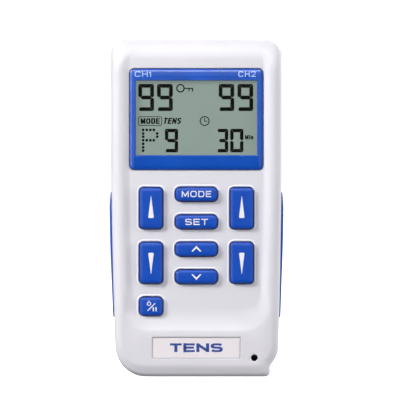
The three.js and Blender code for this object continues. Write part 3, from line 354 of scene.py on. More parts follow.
class Build:
    """Gathers points in mm and faces, and makes one object of them."""

    def __init__(self):
        self.points, self.faces, self.count = [], [], 0

    def add(self, points, faces):
        first = self.count
        self.points.append(np.asarray(points, float))
        self.count += len(points)
        self.faces += [tuple(first + i for i in f) for f in faces]
        return first

    def stack(self, loops, cap_first=False, cap_last=False):
        """Quads between closed loops of equal length, and flat caps."""
        n = len(loops[0])
        first = self.add(np.concatenate(loops), [])
        for k in range(len(loops) - 1):
            a, b = first + k * n, first + (k + 1) * n
            self.faces += [(a + i, a + (i + 1) % n, b + (i + 1) % n, b + i) for i in range(n)]
        if cap_first:
            self.faces.append(tuple(first + i for i in range(n)))
        if cap_last:
            last = first + (len(loops) - 1) * n
            self.faces.append(tuple(last + i for i in reversed(range(n))))
        return self

    def solid(self, *loops):
        return self.stack(loops, True, True)

    def sheet(self, outer, rings, holes, depth, back=False):
        """A surface y = depth(x, z) inside outer and outside the holes; each loop is of (x, y, z)."""
        loops = [outer, *rings, *holes]
        xyz = np.concatenate(loops)
        edges, start = [], 0
        for n in map(len, loops):
            edges += [(start + i, start + (i + 1) % n) for i in range(n)]
            start += n
        flat = [(float(p[0]), float(p[2])) for p in xyz]
        verts, _, faces, origin, _, _ = delaunay_2d_cdt(flat, edges, [], 0, 1e-6)
        out = np.array([(v.x, v.y) for v in verts])
        y = np.array([xyz[o[0]][1] if o else np.nan for o in origin])
        new = np.isnan(y)
        if new.any():
            y[new] = depth(*out[new].T)
        faces = np.array([f for f in faces if len(f) == 3])
        middle = out[faces].mean(1)
        keep = inside(middle, outer[:, [0, 2]])
        for h in holes:
            keep &= ~inside(middle, h[:, [0, 2]])
        faces = faces[keep]
        if back:
            faces = faces[:, ::-1]
        self.add(lift(out, y), faces.tolist())
        return self

    def turned(self, profile, centre, axis="y", n=32, cap=True):
        """A turned piece: profile is (radius, distance along the axis)."""
        a = np.arange(n) * TAU / n
        loops = []
        for r, h in profile:
            c, s, h = max(r, 1e-4) * np.cos(a), max(r, 1e-4) * np.sin(a), np.full(n, h)
            loops.append(np.column_stack({"x": (h, c, s), "y": (c, h, s), "z": (c, s, h)}[axis]) + centre)
        return self.stack(loops, cap, cap)

    def wire(self, path, r, n=10):
        """A round wire along a path, with rounded-over ends."""
        t = np.gradient(path, axis=0)
        t /= np.linalg.norm(t, axis=1)[:, None]
        side = np.cross(t[0], (0.31, 0.42, 0.85))
        a = np.arange(n) * TAU / n
        loops = []
        for point, along in zip(path, t):
            side = side - along * (side @ along)
            side /= np.linalg.norm(side)
            up = np.cross(along, side)
            loops.append(point + r * (np.cos(a)[:, None] * side + np.sin(a)[:, None] * up))
        tips = [path[end] + (loops[end] - path[end]) * 0.5 + way * t[end] * r * 0.7
                for end, way in ((0, -1), (-1, 1))]
        return self.solid(tips[0], *loops, tips[1])

    def ribbon(self, points, width, depth, thick=0.03, loop=False, thin=1.0):
        """A stroke along a plane curve, with square ends. depth gives its face's y at a height z.
        thin is the share of the width that a level stroke has."""
        p = np.array(points, float)
        before = np.roll(p, 1, 0) if loop else np.vstack([2 * p[0] - p[1], p[:-1]])
        after = np.roll(p, -1, 0) if loop else np.vstack([p[1:], 2 * p[-1] - p[-2]])
        a, b = p - before, after - p
        a /= np.linalg.norm(a, axis=1)[:, None]
        b /= np.linalg.norm(b, axis=1)[:, None]
        t = a + b
        t /= np.linalg.norm(t, axis=1)[:, None]
        half = width / 2 * (thin + (1 - thin) * abs(t[:, 1])) / np.maximum((a * t).sum(1), 0.5)
        normal = np.column_stack([-t[:, 1], t[:, 0]]) * half[:, None]
        loops = []
        for left, right in zip(p + normal, p - normal):
            y0, y1 = depth(left[1]), depth(right[1])
            loops.append(np.array([(left[0], y0, left[1]), (right[0], y1, right[1]),
                                   (right[0], y1 + thick, right[1]), (left[0], y0 + thick, left[1])]))
        return self.stack(loops + loops[:1]) if loop else self.solid(*loops)

    def flat(self, points, y, thick=0.03):
        """A thin plate with its face at y."""
        p = np.array(points, float)
        return self.solid(lift(p, y + thick), lift(p, y))

    def hoop(self, x, z, r, width, y, n=28, thick=0.03):
        outer, inner = circle(r + width / 2, x, z, n), circle(r - width / 2, x, z, n)
        loops = [lift(outer, y + thick), lift(outer, y), lift(inner, y), lift(inner, y + thick)]
        return self.stack(loops + loops[:1])

    def mesh_object(self, name, weld=True):
        mesh = bpy.data.meshes.new(name)
        mesh.from_pydata((np.concatenate(self.points) * MM).tolist(), [], self.faces)
        bm = bmesh.new()
        bm.from_mesh(mesh)
        if weld:
            bmesh.ops.remove_doubles(bm, verts=bm.verts, dist=2e-6)
        bmesh.ops.delete(bm, geom=[v for v in bm.verts if not v.link_faces], context="VERTS")
        bmesh.ops.recalc_face_normals(bm, faces=bm.faces)
        bm.to_mesh(mesh)
        bm.free()
        return add_object(name, mesh)

    def make(self, name, material, node=None, body="case", slot=None, sharp=32, weld=True):
        """The finished piece, which stands for a CAD node if one is given.

        Its slot has its material's name; the slot argument is not used.
        """
        obj = self.mesh_object(name, weld)
        shade(obj, sharp)
        obj.data.materials.append(material)
        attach(obj, body)
        if node:
            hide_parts(node)
        return obj


def cut(obj, *builds):
    """Cuts solids out of an object."""
    for build in builds:
        tool = build.mesh_object("cutter", weld=False)
        modifier = obj.modifiers.new("cut", "BOOLEAN")
        modifier.operation = "DIFFERENCE"
        modifier.solver = "EXACT"
        modifier.object = tool
        graph = bpy.context.evaluated_depsgraph_get()
        made = bpy.data.meshes.new_from_object(obj.evaluated_get(graph))
        obj.modifiers.clear()
        old, obj.data = obj.data, made
        made.name = obj.name
        bpy.data.meshes.remove(old)
        bpy.data.objects.remove(tool)
    shade(obj, 32)


# ---- materials


def srgb(colour):
    """A colour in 0 to 255 display values, as linear light."""
    c = np.array(colour) / 255
    return tuple(np.where(c <= 0.04045, c / 12.92, ((c + 0.055) / 1.055) ** 2.4).tolist()) + (1.0,)


def feed(tree, node, inputs):
    """Sets a node's inputs to numbers or colours, or links other nodes' outputs to them."""
    for name, value in inputs.items():
        if isinstance(value, bpy.types.NodeSocket):
            tree.links.new(value, node.inputs[name])
        else:
            node.inputs[name].default_value = value


def add_node(tree, kind, output, inputs, **settings):
    """A shader node's output."""
    node = tree.nodes.new("ShaderNode" + kind)
    for name, value in settings.items():
        setattr(node, name, value)
    feed(tree, node, inputs)
    return node.outputs[output]


def material(name, tone, tone2, rough, mottle=300, grain=9000, bump=0.05, rough2=None, metal=0.0, spec=0.5,
             coat=0.0, brushed=None, wear_and_highlight=None, painted_edge_shade=None, extra={}):
    """A procedural material: two close tones mottled together, roughness that varies, and a fine bump.

    mottle and grain are noise scales per metre. brushed stretches the grain along one axis.
    wear_and_highlight lightens convex edges: worn edges with a painted highlight on them. painted_edge_shade
    darkens what is seen edge-on: painted shade that outlines the piece.
    """
    mat = bpy.data.materials.new(name)
    mat.use_nodes = True
    tree = mat.node_tree
    tone = srgb(tone)
    tone2 = srgb(tone2) if tone2 else tuple(min(1, c * 0.93) for c in tone[:3]) + (1.0,)

    def tinted(colour, towards, share, low, high, **settings):
        """The colour moved to another one as a share runs from low to high."""
        limits = {"Value": share, "From Min": low, "From Max": high}
        fade = add_node(tree, "MapRange", "Result", limits, **settings)
        ends = {"Factor": fade, "A": colour, "B": srgb(towards)}
        return add_node(tree, "Mix", "Result", ends, data_type="RGBA")

    where = add_node(tree, "TexCoord", "Object", {})
    cloud = add_node(tree, "TexNoise", "Fac", {"Vector": where, "Scale": mottle, "Detail": 4})
    colour = add_node(tree, "ValToRGB", "Color", {"Fac": cloud})
    for stop, place, tint in zip(colour.node.color_ramp.elements, (0.35, 0.65), (tone2, tone)):
        stop.position, stop.color = place, tint
    # Convex edges turn lighter: partly rubbed wear, partly a painted highlight along them.
    if wear_and_highlight:
        colour = tinted(colour, wear_and_highlight, add_node(tree, "NewGeometry", "Pointiness", {}), 0.52, 0.7)
    # Faces seen edge-on turn towards a dark tone: painted shade, a dark outline round the piece.
    if painted_edge_shade:
        facing = add_node(tree, "LayerWeight", "Facing", {"Blend": 0.5})
        colour = tinted(colour, painted_edge_shade, facing, 0.22, 0.66, interpolation_type="SMOOTHSTEP")
    if brushed:
        where = add_node(tree, "Mapping", "Vector", {"Vector": where, "Scale": brushed})
    fine = add_node(tree, "TexNoise", "Fac", {"Vector": where, "Scale": grain, "Detail": 3})
    rough2 = min(1, rough + 0.1) if rough2 is None else rough2
    feed(tree, tree.nodes["Principled BSDF"], {
        "Base Color": colour,
        "Roughness": add_node(tree, "MapRange", "Result", {"Value": fine, "To Min": rough, "To Max": rough2}),
        "Normal": add_node(tree, "Bump", "Normal", {"Height": fine, "Strength": bump, "Distance": 0.00005}),
        "Metallic": metal,
        "Specular IOR Level": spec,
        **({"Coat Weight": coat, "Coat Roughness": 0.05} if coat else {}),
        **extra,
    })
    return mat


WHITE = material("case_white", (233, 231, 237), (230, 228, 235), 0.42, 60, 7000, 0.12)
# A lighter white than the case's: a painted highlight on the beads round the keys.
COLLAR_PAINTED_HIGHLIGHT = material("collar_painted_highlight", (252, 251, 255), (249, 248, 253), 0.3, 80, 7000)
# Keys and bezel darken to dark blue where seen edge-on: painted shade that outlines them.
BLUE_KEY = material("key_blue", (13, 81, 196), (11, 77, 190), 0.34, 200, 6000, 0.08, coat=0.28, spec=0.14,
                    painted_edge_shade=(6, 28, 90))
BLUE_BEZEL = material("bezel_blue", (13, 88, 200), (12, 80, 187), 0.16, 120, 4000, 0.03, coat=0.4, spec=0.22,
                      painted_edge_shade=(6, 30, 96))
BLUE_GRIP = material("grip_blue", (28, 86, 184), (24, 79, 175), 0.6, 200, 5200, 0.5, spec=0.3)
WINDOW = material("window_clear", (40, 44, 43), (37, 41, 40), 0.14, 50, 3000, 0.0, 0.18, spec=0.25,
                  extra={"Alpha": 0.04, "IOR": 1.49})
# The display sheets glow with their own colour: painted light that evens out the bezel's shadow on them.
LCD = material("lcd_glass", (104, 116, 110), (101, 113, 107), 0.35, 90, 12000, 0.02, spec=0.2,
               extra={"Emission Color": srgb((113, 127, 120)), "Emission Strength": 1})
INK = material("lcd_ink", (5, 6, 6), (3, 3, 3), 0.6, 900, spec=0.02)
FILM = material("label_film", (253, 246, 250), (250, 243, 247), 0.75, 80, 8000, spec=0.1)
FILM_INK = material("label_ink", (38, 74, 160), (34, 69, 152), 0.5, 900)
PRINT = material("legend_white", (250, 250, 255), (244, 245, 252), 0.45, 900)
PALE = material("legend_pale_blue", (176, 202, 255), (168, 195, 252), 0.45, 900)
SILICONE = material("silicone_grey", (154, 156, 160), None, 0.75, 200, 3000, 0.2)
ZEBRA = material("zebra_black", (38, 38, 40), None, 0.7, 200, 2500, 0.3, brushed=(30, 1, 1))
BOARD = material("board_green", (24, 100, 58), (18, 82, 46), 0.32, 700, 2600, 0.25, coat=0.4)
CHIP = material("chip_black", (34, 34, 36), None, 0.55, 400, 9000, 0.35)
TAPE = material("tape_yellow", (214, 176, 62), (196, 156, 50), 0.5, 350, 2200, 0.3, brushed=(1, 1, 14))
CAP_SLEEVE = material("capacitor_sleeve", (30, 34, 62), None, 0.28, 300, 3000, 0.08, coat=0.4)
SOCKET = material("socket_black", (28, 28, 30), (22, 22, 24), 0.42, 500, 8000, 0.25)
SLEEVE = material("cell_sleeve", (52, 58, 66), (44, 50, 58), 0.24, 150, 2600, coat=0.5)
COPPER = material("cell_band", (196, 132, 62), (186, 122, 56), 0.25, 150, 2600, coat=0.5)
CONTACT = material("contact_steel", (205, 207, 210), None, 0.28, 400, 1500, 0.15, metal=1.0,
                   brushed=(1, 1, 20))
SPRING = material("spring_steel", (190, 192, 196), None, 0.25, 500, 4000, 0.1, metal=1.0)
# The screws' lighter edges are partly wear and partly a painted highlight.
ZINC = material("screw_zinc", (198, 200, 204), None, 0.3, 700, 5000, 0.2, metal=1.0, wear_and_highlight=(225, 226, 228))

# ---- openings, walls and side grips

KEY_EDGE, FRAME_EDGE, BACK_EDGE, GRIP_EDGE = 0.12, 0.15, 0.25, 0.4  # radii of the rounded edges


def key_loop(spec, grow):
    x, z, w, h, r = spec
    return rounded(w + 2 * grow, h + 2 * grow, r + grow, x, z)


def mouth(build, loop_at, fillet, walls=(), depth=front_at, sign=1):
    """Rounds a hole's edge over and runs its wall to pairs of growth and depth."""
    loops = [laid(loop_at(fillet * (1 - math.sin(a))), depth, sign * fillet * (1 - math.cos(a)))
             for a in ANGLES]
    loops += steps(loop_at, walls)
    build.stack(loops)
    return loops[-1]


def holed(openings, depth):
    """Loops of the holes in a surface, and loops a little outside them which keep it flat up to the edge."""
    return [[laid(loop_at(fillet + d), depth) for loop_at, fillet in openings] for d in (0, 0.25)]


def walls_at(places, pairs):
    """Loops at pairs of inset from the outline and depth."""
    return [lift(points_on(places, reach(places, OUTLINE) - inset), y) for inset, y in pairs]


def socket_bores():
    return [Build().turned([(3.2, 0), (3.2, 6)], (s * SOCKET_X, 0, 116), "z", 40) for s in (-1, 1)]


def grip_proud(z):
    """How far the pad stands out: a little more towards the top, and then it sinks away."""
    t = (z - GRIP_LOW) / (GRIP_HIGH - GRIP_LOW)
    return 0.58 + 0.28 * smooth(clamp01((t - 0.15) / 0.5)) - 12.5 * np.maximum(0, t - 0.8) ** 2


def grip_outline(grow):
    """The pad's edge in (y, z)."""
    y0, y1, z0, z1 = GRIP_FRONT - grow, GRIP_BACK + grow, GRIP_LOW - grow, GRIP_HIGH + grow
    top, foot, mid = 2 + grow, 14, (GRIP_FRONT + GRIP_BACK) / 2
    return closed(
        (y0, z0 + foot),
        (16, (y0, z0), (mid, z0)),
        (16, (y1, z0), (y1, z0 + foot)),
        (24, (y1, z1 - top)),
        (8, (y1, z1), (y1 - top, z1)),
        (8, (y0 + top, z1)),
        (8, (y0, z1), (y0, z1 - top)),
        (24, (y0, z0 + foot)),
    )


def on_side(loop, side, offset):
    """A loop of (y, z) laid on the case's side, moved out by an offset."""
    x, z = OUTLINE[(OUTLINE[:, 0] * side > 20) & (OUTLINE[:, 1] > 9) & (OUTLINE[:, 1] < 116)].T
    order = np.argsort(z)
    return across(loop, side * (np.interp(loop[:, 1], z[order], abs(x[order])) + offset))


def grip_pockets():
    """Cutters that follow the case's sides."""
    loop = grip_outline(GAP)
    return [Build().solid(on_side(loop, s, -0.9 - GAP), on_side(loop, s, 3)) for s in (-1, 1)]


def grip_pad(name, side):
    edge = grip_outline(0)
    mid = np.array([(GRIP_FRONT + GRIP_BACK) / 2, 46.0])
    inward = mid - edge
    inward /= np.linalg.norm(inward, axis=1)[:, None]
    loops = [on_side(edge, side, -0.88), on_side(edge, side, np.minimum(grip_proud(edge[:, 1]) - 0.35, 0.5))]
    for a in np.linspace(0.15, math.pi / 2, 6):
        loop = edge + inward * (GRIP_EDGE * (1 - math.cos(a)))
        loops.append(on_side(loop, side, grip_proud(loop[:, 1]) - GRIP_EDGE * (1 - math.sin(a))))
    for share in (0.8, 0.6, 0.4, 0.2, 0.02):
        loop = mid + (edge - mid) * (share - 0.02)
        loops.append(on_side(loop, side, grip_proud(loop[:, 1])))
    Build().solid(*loops).make(name + "_pad", BLUE_GRIP, name)


# ---- case


def front_shell():
    places = places_through(FRONT_CURVES)
    far = [reach(places, c) for c in FRONT_CURVES]
    z0, dx, dz = rays_at(places)
    shares = (0, 0.004, 0.015, 0.035, 0.065, 0.1, 0.145, 0.2, EDGE_WIDTH, 0.33, 0.42, 0.51, 0.6, 0.7, 0.8,
              0.9, 1)
    levels = [far[0] + (far[1] - far[0]) * u for u in shares]
    levels += [far[2] + (far[3] - far[2]) * t for t in np.linspace(0, 1, 13)]
    levels.append(np.minimum(far[1], far[3]) - 0.3)
    rings = [lift(points_on(places, d), front_depth(dx * d, z0 + dz * d, d, *far)) for d in levels]

    keys = [(lambda g, s=s: key_loop(s, g + KEY_GAP), KEY_EDGE) for s in KEYS.values()]
    frame_loop = growing(BEZEL_W + 0.4, BEZEL_H + 0.4, BEZEL_R + 0.2, 0, BEZEL_Z)
    plate_loop = growing(PLATE_W + 0.36, PLATE_H + 0.36, 0.3, 0, PLATE_Z)
    strap_loop = lambda g: circle(STRAP_R + g, STRAP_X, STRAP_Z)
    others = [(frame_loop, FRAME_EDGE), (plate_loop, PLATE_EDGE), (strap_loop, STRAP_EDGE)]
    holes, guards = holed(keys + others, front_at)
    shell = Build().sheet(rings[0], rings[1:] + guards, holes, front_at)

    through = [mouth(shell, *key, [(0, PANEL_BACK_Y)]) for key in keys]
    mouth(shell, frame_loop, FRAME_EDGE, [(0, REBATE_Y)])
    window_edge = rounded(*WINDOW_HOLE, 0.6, 0, SCREEN_Z)
    rebate = lift(window_edge, REBATE_Y)
    shell.sheet(lift(frame_loop(0), REBATE_Y), [], [rebate], level(REBATE_Y))
    through.append(lift(window_edge, PANEL_BACK_Y))
    shell.stack([rebate, through[-1]])
    plate_edge = mouth(shell, plate_loop, PLATE_EDGE)
    shell.stack([plate_edge, laid(plate_loop(0), front_at, PLATE_DEEP)], cap_last=True)
    through.append(mouth(shell, strap_loop, STRAP_EDGE, [(0, PANEL_BACK_Y)]))

    # sides, parting edge with a tongue behind it, and the inside
    edge = PARTING_Y - PARTING_GAP
    walls = walls_at(places, [
        (0, FRONT_EDGE_Y), (0, -6), (0, edge - 0.15), (0.05, edge - 0.04), (0.15, edge), (0.7, edge),
        (0.7, edge + 1.2), (1.5, edge + 1.2), (WALL, edge - 0.4), (WALL, FRONT_EDGE_Y), (WALL + 1.4, -9.2),
        (WALL + 1.6, PANEL_BACK_Y)])
    shell.stack(walls)
    shell.sheet(walls[-1], [], through, level(PANEL_BACK_Y), back=True)
    obj = shell.make("front_shell", WHITE, "front_cover")
    side_hole = Build().turned([(1.4, 0), (1.4, 9)], (21.5, -5.5, 5.4), "x")
    cut(obj, *socket_bores(), side_hole, *grip_pockets())


def rear_shell():
    places = places_through(BACK_CURVES)
    far = [reach(places, c) for c in BACK_CURVES]
    levels = [far[0] + (far[1] - far[0]) * (1 - math.cos(a)) for a in np.linspace(0, math.pi / 2, 11)]
    levels.append(far[1] - 0.3)
    rings = [lift(points_on(places, d), back_depth(d, *far)) for d in levels]

    half, low, high, inner = DOOR
    door_loop = growing(2 * half + 0.5, high - low + 0.5, 2.9, 0, (low + high) / 2)
    bores = [lambda g, at=at: circle(2.9 + g, *at) for at in SCREWS.values()]
    holes, guards = holed([(loop_at, BACK_EDGE) for loop_at in (door_loop, *bores)], back_at)
    shell = Build().sheet(rings[0], rings[1:] + guards, holes, back_at, back=True)
    for loop_at in bores:
        seat = mouth(shell, loop_at, BACK_EDGE, [(0, SEAT_Y)], back_at, -1)
        shell.stack([seat, *steps(loop_at, [(-1.4, SEAT_Y), (-1.4, 6)])], cap_last=True)

    ledge_y = inner - GAP
    mouth(shell, door_loop, BACK_EDGE, [(0, ledge_y)], level(BACK_Y), -1)
    bay_half, bay_low, bay_high, bay_floor = BAY
    bay_loop = growing(2 * bay_half, bay_high - bay_low, 0.8, 0, (bay_low + bay_high) / 2)
    slots = [rounded(6, 3.1, 0.2, s * TAB_X, 8.75) for s in (-1, 1)]
    rims = [lift(loop, ledge_y) for loop in (bay_loop(0.15), *slots)]
    shell.sheet(lift(door_loop(0), ledge_y), [], rims, level(ledge_y), back=True)
    for slot in slots:
        shell.stack([lift(slot, ledge_y), lift(slot, 9.0)], cap_last=True)
    shell.stack(steps(bay_loop, [(0.15, ledge_y), (0, ledge_y - 0.15), (0, bay_floor)]), cap_last=True)

    edge = PARTING_Y + PARTING_GAP
    outside = walls_at(places, [
        (0, REAR_EDGE_Y), (0, 6), (0, edge + 0.15), (0.05, edge + 0.04), (0.15, edge), (0.6, edge)])
    inside_edge = walls_at(places, [(0.6, edge + 1.5), (WALL, edge + 1.5), (WALL, 7), (WALL + 3, 10.4)])
    shell.stack(outside)
    shell.stack(outside[-1:] + inside_edge)
    obj = shell.make("rear_shell", WHITE, "rear_cover")
    dish_r, dish_deep = 6.2, 1.05
    dish = [(dish_r * math.cos(a), -dish_deep * math.sin(a)) for a in np.linspace(1.5, 0, 10)]
    thumb_dish = Build().turned([*dish, (dish_r, 0.5)], (0, BACK_Y, 69.6), "y", 48)
    cut(obj, thumb_dish, *socket_bores(), *grip_pockets())


def prism(loop, y0, y1):
    return Build().solid(lift(loop, y0), lift(loop, y1))


def groove(z, y, floor):
    """Cutter for a level finger groove in a face at y, as high as floor at its bottom."""
    bottom = rounded(12, floor, floor / 2 - 0.01, 0, z)
    return Build().solid(lift(bottom, y - 0.45), lift(rounded(12.4, 0.9, 0.44, 0, z), y + 0.1))


def battery_door():
    half, low, high, inner = DOOR
    loop_at = growing(2 * half, high - low, 2.7, 0, (low + high) / 2, 8)
    pairs = [(-0.9, inner), (-0.1, inner), (0, inner + 0.1), *round_edge(0.3, BACK_Y), (-0.6, BACK_Y)]
    door = Build().solid(*steps(loop_at, pairs))
    tab = [(inner + 0.05, low + 0.2), (inner + 0.05, low + 1.4), (9.6, low + 1.4), (9.6, 6.2), (9.8, 6.0),
           (10.5, 6.0), (10.5, low + 0.2)]
    for s in (-1, 1):
        door.solid(across(tab, s * TAB_X - 2.3), across(tab, s * TAB_X + 2.3))
    obj = door.make("battery_door_panel", WHITE, "battery_door", "battery_door")
    arrow = prism(np.array([(-2.6, 49), (2.6, 49), (0, 52.6)]), BACK_Y - 0.5, BACK_Y + 0.1)
    cut(obj, *[groove(55.45 + 2 * i, BACK_Y, 0.5) for i in range(5)], arrow)


# ---- display


def bezel():
    """A round edge, four faces that rise to the screen, and a chamfer down to the window."""
    outer = growing(BEZEL_W, BEZEL_H, BEZEL_R, 0, BEZEL_Z, 8, 0.6)
    screen = growing(SCREEN_W, SCREEN_H, 0.3, 0, SCREEN_Z, 8, 0.6)
    loops = steps(outer, [(0, FRAME_BACK_Y)] + [(-g, y) for g, y in BEZEL_EDGE])
    rim, crest = loops[-1], lift(screen(SCREEN_LIP), BEZEL_TOP_Y)
    for t in (0.16, 0.33, 0.5, 0.67, 0.84, 1):
        bow = (BEZEL_TOP_Y - BEZEL_RIM_Y) * t * (1 - t)
        loops.append(rim * (1 - t) + crest * t + np.array([0, bow, 0]))
    chamfer = ((0.34, 0), (0.26, 0.03), (0.06, 0.2), (0, 0.28))
    loops += steps(screen, [(g, BEZEL_CREST_Y + d) for g, d in chamfer])
    loops += steps(screen, [(0, -12.35), (0.8, -12.35), (0.8, FRAME_BACK_Y)])
    Build().stack(loops + loops[:1]).make("bezel_frame", BLUE_BEZEL, "display_bezel", sharp=40)


def panes():
    """The window and the display's two sheets of glass, with small chamfers."""
    # piece, material, node, width, height, corner radius, corner steps, depths of both faces, chamfer
    for name, look, node, w, h, r, n, y0, y1, inset, rise in (
        ("window_pane", WINDOW, "display_window",
         SCREEN_W + 1, SCREEN_H + 1, 0.6, 6, -11.68, -12.1, 0.1, -0.07),
        ("lcd_sheet_front", LCD, "lcd_panel", 44.1, 27.5, 0.15, 2, LCD_SEEN_Y, -10.3, 0.08, 0.08),
        ("lcd_sheet_rear", LCD, "lcd_panel", 45.5, 30.4, 0.15, 2, -10.25, -9.1, 0.08, 0.08),
    ):
        at = growing(w, h, r, 0, SCREEN_Z, n, 0)
        pairs = [(-inset, y0), (0, y0 + rise), (0, y1 - rise), (-inset, y1)]
        Build().solid(*steps(at, pairs)).make(name, look, node)


SEGMENTS = {"9": "abcdfg", "3": "abcdg", "0": "abcdef"}


def digit(build, char, x0, x1, z0, z1, s, y):
    """Seven-segment digit of bars s wide, with cut corners and small gaps."""
    gap, corner = 0.03, s * 0.42
    nick = corner * 0.3
    zm = (z0 + z1) / 2
    lit = SEGMENTS[char]
    shapes = {
        "g": [(x0 + s * 0.55 + gap, zm), (x0 + s + gap, zm + s / 2), (x1 - s - gap, zm + s / 2),
              (x1 - s * 0.55 - gap, zm), (x1 - s - gap, zm - s / 2), (x0 + s + gap, zm - s / 2)],
    }
    # a level bar's end is mitred where it meets another bar, and blunt where it stands free
    for bar, ends, zo, zi in (("a", "fb", z1, z1 - s), ("d", "ec", z0, z0 + s)):
        down = 1 if zi > zo else -1
        tips = []
        for end, xo, inward in ((ends[0], x0, 1), (ends[1], x1, -1)):
            mitred = [(corner, zo), (nick + gap, zo + down * nick), (s + gap, zi)]
            blunt = [(corner, zo), (corner * 0.45, zo + down * s * 0.42), (corner * 1.2, zi)]
            tips.append([(xo + inward * u, z) for u, z in (mitred if end in lit else blunt)])
        shapes[bar] = tips[0] + tips[1][::-1]
    for upper, lower, xo, xi in (("f", "e", x0, x0 + s), ("b", "c", x1, x1 - s)):
        inward = 1 if xo < xi else -1
        shapes[upper] = [(xo, z1 - corner), (xo + inward * nick, z1 - nick - gap), (xi, z1 - s - gap),
                         (xi, zm + s / 2 + gap), (xo + inward * s * 0.5, zm + gap * 1.2), (xo, zm + s * 0.35)]
        shapes[lower] = [(x, z0 + z1 - z) for x, z in shapes[upper]]
    for name in lit:
        build.flat(shapes[name], y)


def corner_cut(points, loop, times=3):
    """Rounds a polyline by cutting its corners."""
    p = points
    for _ in range(times):
        after = np.roll(p, -1, 0) if loop else p[1:]
        start = p if loop else p[:-1]
        cuts = np.stack([start * 0.75 + after * 0.25, start * 0.25 + after * 0.75], 1).reshape(-1, 2)
        p = cuts if loop else np.vstack([p[:1], cuts, p[-1:]])
    return p


def short_steps(points, longest=0.5):
    """The same polyline with no step longer than the given length."""
    out = [points[:1]]
    for a, b in zip(points[:-1], points[1:]):
        n = max(1, math.ceil(np.linalg.norm(b - a) / longest))
        out.append(a + (b - a) * np.linspace(0, 1, n + 1)[1:, None])
    return np.vstack(out)


# Letters of strokes in a unit square: relative width, straight strokes, curved strokes, closed curves.
LETTERS = {
    "C": (1.0, [],
          [[(1, 0.78), (0.86, 1), (0.16, 1), (0, 0.8), (0, 0.2), (0.16, 0), (0.86, 0), (1, 0.22)]], []),
    "D": (1.0, [[(0.4, 0), (0, 0), (0, 1), (0.4, 1)]],
          [[(0.4, 1), (0.9, 1), (1, 0.72), (1, 0.28), (0.9, 0), (0.4, 0)]], []),
    "E": (0.86, [[(1, 1), (0, 1), (0, 0), (1, 0)], [(0, 0.51), (0.9, 0.51)]], [], []),
    "H": (0.95, [[(0, 0), (0, 1)], [(1, 0), (1, 1)], [(0, 0.52), (1, 0.52)]], [], []),
    "M": (1.2, [[(0, 0), (0, 1)], [(1, 0), (1, 1)], [(0.1, 0.88), (0.5, 0.1), (0.9, 0.88)]], [], []),
    "N": (1.0, [[(0, 0), (0, 1)], [(1, 0), (1, 1)], [(0.12, 0.86), (0.88, 0.14)]], [], []),
    "O": (1.1, [], [],
          [[(0, 0.22), (0, 0.78), (0.16, 1), (0.84, 1), (1, 0.78), (1, 0.22), (0.84, 0), (0.16, 0)]]),
    "S": (0.94, [], [[(0.98, 0.84), (0.86, 1), (0.1, 1), (-0.02, 0.74), (0.1, 0.52), (0.9, 0.5), (1.02, 0.26),
                      (0.9, 0), (0.12, 0), (0, 0.16)]], []),
    "T": (0.9, [[(0, 1), (1, 1)], [(0.5, 1), (0.5, 0)]], [], []),
    "1": (0.2, [[(0, 0.78), (1, 1), (1, 0)]], [], []),
    "2": (0.9, [[(0, 0), (1, 0)]],
          [[(0, 0.75), (0.06, 1), (0.94, 1), (1, 0.66), (0.8, 0.44), (0.1, 0.08)]], []),
    "i": (0.0, [[(0.5, 0), (0.5, 0.62)], [(0.5, 0.9), (0.5, 1)]], [], []),
    "n": (0.62, [[(0, 0), (0, 0.66)]], [[(0, 0.5), (0.25, 0.68), (0.95, 0.7), (1, 0.4), (1, -0.12)]], []),
}


def word(name, text, box, weight, depth, ink, body="case", gap=0.3, slant=0.0, thin=1.0, thick=0.03):
    """A word fitted to a box of x0, x1, z0, z1, as one piece.

    weight is the strokes' width, and thin the share of it that level strokes have.
    """
    x, x1, z0, z1 = box
    share = x1 - x - slant * (z1 - z0) - weight * len(text) - gap * (len(text) - 1)
    share /= sum(LETTERS[c][0] for c in text)
    low, tall = z0 + weight * thin / 2, z1 - z0 - weight * thin
    build = Build()
    for char in text:
        wide, straight, curved, rings = LETTERS[char]
        origin = x + weight / 2
        place = lambda points: np.array([(origin + u * wide * share + slant * v * tall, low + v * tall)
                                         for u, v in points])
        for p in map(place, straight):
            for end, neighbour in ((0, 1), (-1, -2)):
                out = p[end] - p[neighbour]
                out /= np.linalg.norm(out)
                p[end] += out * weight / 2 * (thin + (1 - thin) * abs(out[0]))
            build.ribbon(short_steps(p), weight, depth, thick, thin=thin)
        for strokes, loop in ((curved, False), (rings, True)):
            for p in map(place, strokes):
                build.ribbon(corner_cut(p, loop), weight, depth, thick, loop, thin)
        x += wide * share + weight + gap
    build.make(name, ink, body=body, sharp=20, weld=False)


